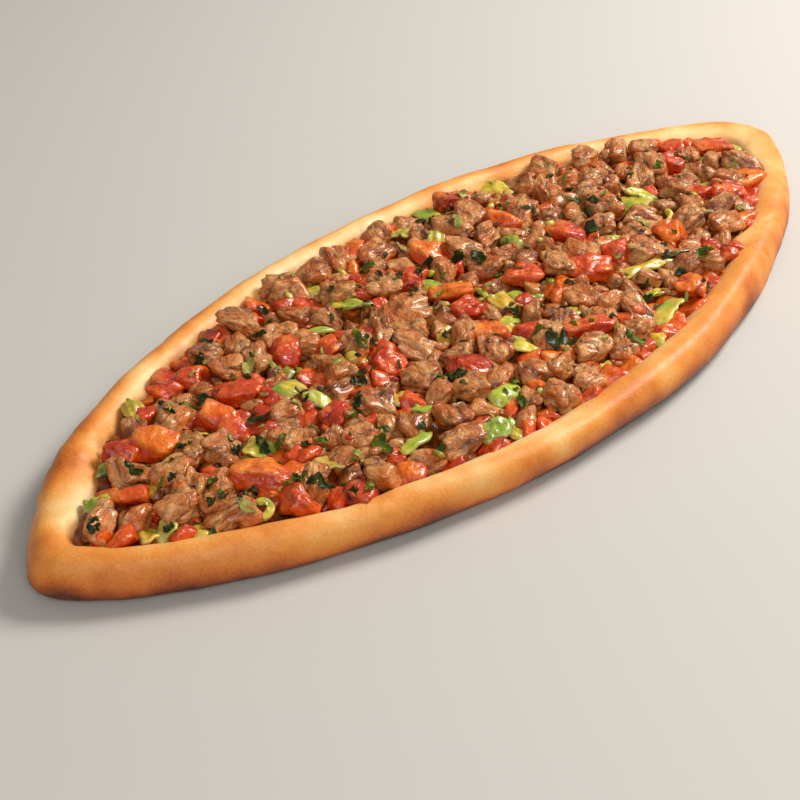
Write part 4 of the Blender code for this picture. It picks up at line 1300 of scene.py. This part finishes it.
SHRED_COLOURS = ((50, 58, 10), (80, 96, 20), (104, 116, 34), (150, 154, 80), (36, 40, 6))
WILTED_LENGTH = 0.80
WILTED_WIDTH = 0.76


def parsley_material():
    """Wilted leaf: its own tint with fine veins and paler patches, a little translucent and oily."""
    made, tree, shader = food_material("wilted_parsley", Subsurface_Weight=0.15, Subsurface_Scale=0.001,
                                       Subsurface_Radius=(0.7, 1.0, 0.2), Specular_IOR_Level=0.16,
                                       Coat_Weight=0.04, Coat_Roughness=0.2)
    grain, tone, veins = fibrous(tree, 600.0, 0.45)
    light = speckle(tree, grain, 320, 3.0)
    join(tree, shader["Base Color"], blotched(tree, tone, light, 0.54, 0.70, 0.5, (96, 114, 34)))
    oiled(tree, shader, grain, 420.0, 0.26, 0.55)
    join(tree, shader["Normal"], bumped(tree, veins, 0.0005, 0.8))
    return made


def serve_leaves(name, flat, length, width, turns, tint, level, steps, around, look):
    """Thin wavy leaves laid over the heap: each point stands on the heap below it, and the edges curl."""
    count = len(flat)
    shape, faces, grain, rim = ribbons(length, width, 0.00035, draw.uniform(-1.1, 1.1, count), 0.0,
                                       draw.uniform(-0.0004, 0.0012, count), 0.5, steps, around, 2.2)
    leaf = np.einsum("abn,ngb->nga", about(2, np.radians(turns)), shape)
    leaf[..., :2] += flat[:, None] - leaf[..., :2].mean(1)[:, None]
    ground = height_at(level, leaf[..., :2])
    lowest = ground.max(1) - 0.0042
    leaf[..., 2] += np.maximum(ground, lowest[:, None]) + 0.0006
    mottling = noise(grain + np.arange(count)[:, None, None] * 0.7, 0.003, 61)
    shade = tint[:, None] * (1 + 0.5 * mottling)[..., None]
    serve_many(name, leaf, faces, shade, grain, look, "cooked_pepper")


parsley = parsley_material()
_, _, lengths, widths, turns, kinds = zip(*LEAVES)
SPREAD_TOP = softened(widened(widened(TOP, 2, np.maximum), 2, np.minimum), 2)
serve_leaves("parsley_leaves", on_bread(LEAVES), np.array(lengths) * MM * WILTED_LENGTH,
             np.array(widths) * MM * WILTED_WIDTH, np.array(turns, float),
             lights(*[LEAF_COLOURS[kind] for kind in kinds]), SPREAD_TOP, 15, 12, parsley)
shreds = strewn(190, -0.0008)
count = len(shreds)
serve_leaves("parsley_shreds", shreds, draw.uniform(0.0018, 0.0055, count),
             draw.uniform(0.0009, 0.0022, count), draw.uniform(0, 360, count),
             lights(*SHRED_COLOURS)[draw.integers(0, 5, count)], softened(TOP, 1), 5, 6, parsley)


# The setting
# A plain pale floor, a large soft light from behind on the right, a weaker one from the left, and
# a camera at the height and side that the pide is best seen from.

CAMERA_TARGET = (-0.0565, -0.0090, 0.0)
CAMERA_DISTANCE = 0.6965
CAMERA_AZIMUTH = math.radians(-46)
CAMERA_ELEVATION = math.radians(37)
CAMERA_LENS = 72
# Name, place, size, power and colour of each light.
LIGHTS = (("key", (0.86, -0.20, 0.90), 0.45, 17.4, (1.0, 0.95, 0.86)),
          ("fill", (-0.7, -0.8, 0.8), 0.8, 6.2, (1.0, 0.97, 0.91)))


def aim(place, target):
    """Rotation that points an object's -Z from a place at a target."""
    return (Vector(target) - Vector(place)).to_track_quat("-Z", "Y").to_euler()


def soft_light(name, place, size, power, colour):
    """Square area light aimed at the middle of the pide."""
    lamp = bpy.data.lights.new(name, "AREA")
    lamp.size = size
    lamp.energy = power
    lamp.color = colour
    made = bpy.data.objects.new(name, lamp)
    made.location = place
    made.rotation_euler = aim(place, (0, 0, 0))
    bpy.context.scene.collection.objects.link(made)


def setting():
    """Floor, lights, world and camera."""
    scene = bpy.context.scene
    corners = np.array([(-3, -3, 0), (3, -3, 0), (3, 3, 0), (-3, 3, 0)], float)
    floor_mesh = food_mesh("floor", corners, np.array([[0, 1, 2, 3]]))
    look, tree, shader = food_material("pale_floor", Roughness=0.7)
    shader["Base Color"].default_value = paint(200, 198, 194)
    floor_mesh.materials.append(look)
    floor = bpy.data.objects.new("floor", floor_mesh)
    scene.collection.objects.link(floor)
    for row in LIGHTS:
        soft_light(*row)
    scene.world = bpy.data.worlds.new("studio")
    scene.world.use_nodes = True
    scene.world.node_tree.nodes["Background"].inputs["Color"].default_value = (1.0, 0.98, 0.95, 1.0)
    scene.world.node_tree.nodes["Background"].inputs["Strength"].default_value = 0.25
    scene.view_settings.view_transform = "Standard"
    lens = bpy.data.cameras.new("camera")
    lens.lens = CAMERA_LENS
    lens.sensor_width = 36
    back = np.array([math.sin(CAMERA_AZIMUTH) * math.cos(CAMERA_ELEVATION),
                     -math.cos(CAMERA_AZIMUTH) * math.cos(CAMERA_ELEVATION), math.sin(CAMERA_ELEVATION)])
    place = np.array(CAMERA_TARGET) + back * CAMERA_DISTANCE
    camera = bpy.data.objects.new("camera", lens)
    camera.location = place
    camera.rotation_euler = aim(tuple(place), CAMERA_TARGET)
    scene.collection.objects.link(camera)
    scene.camera = camera


setting()
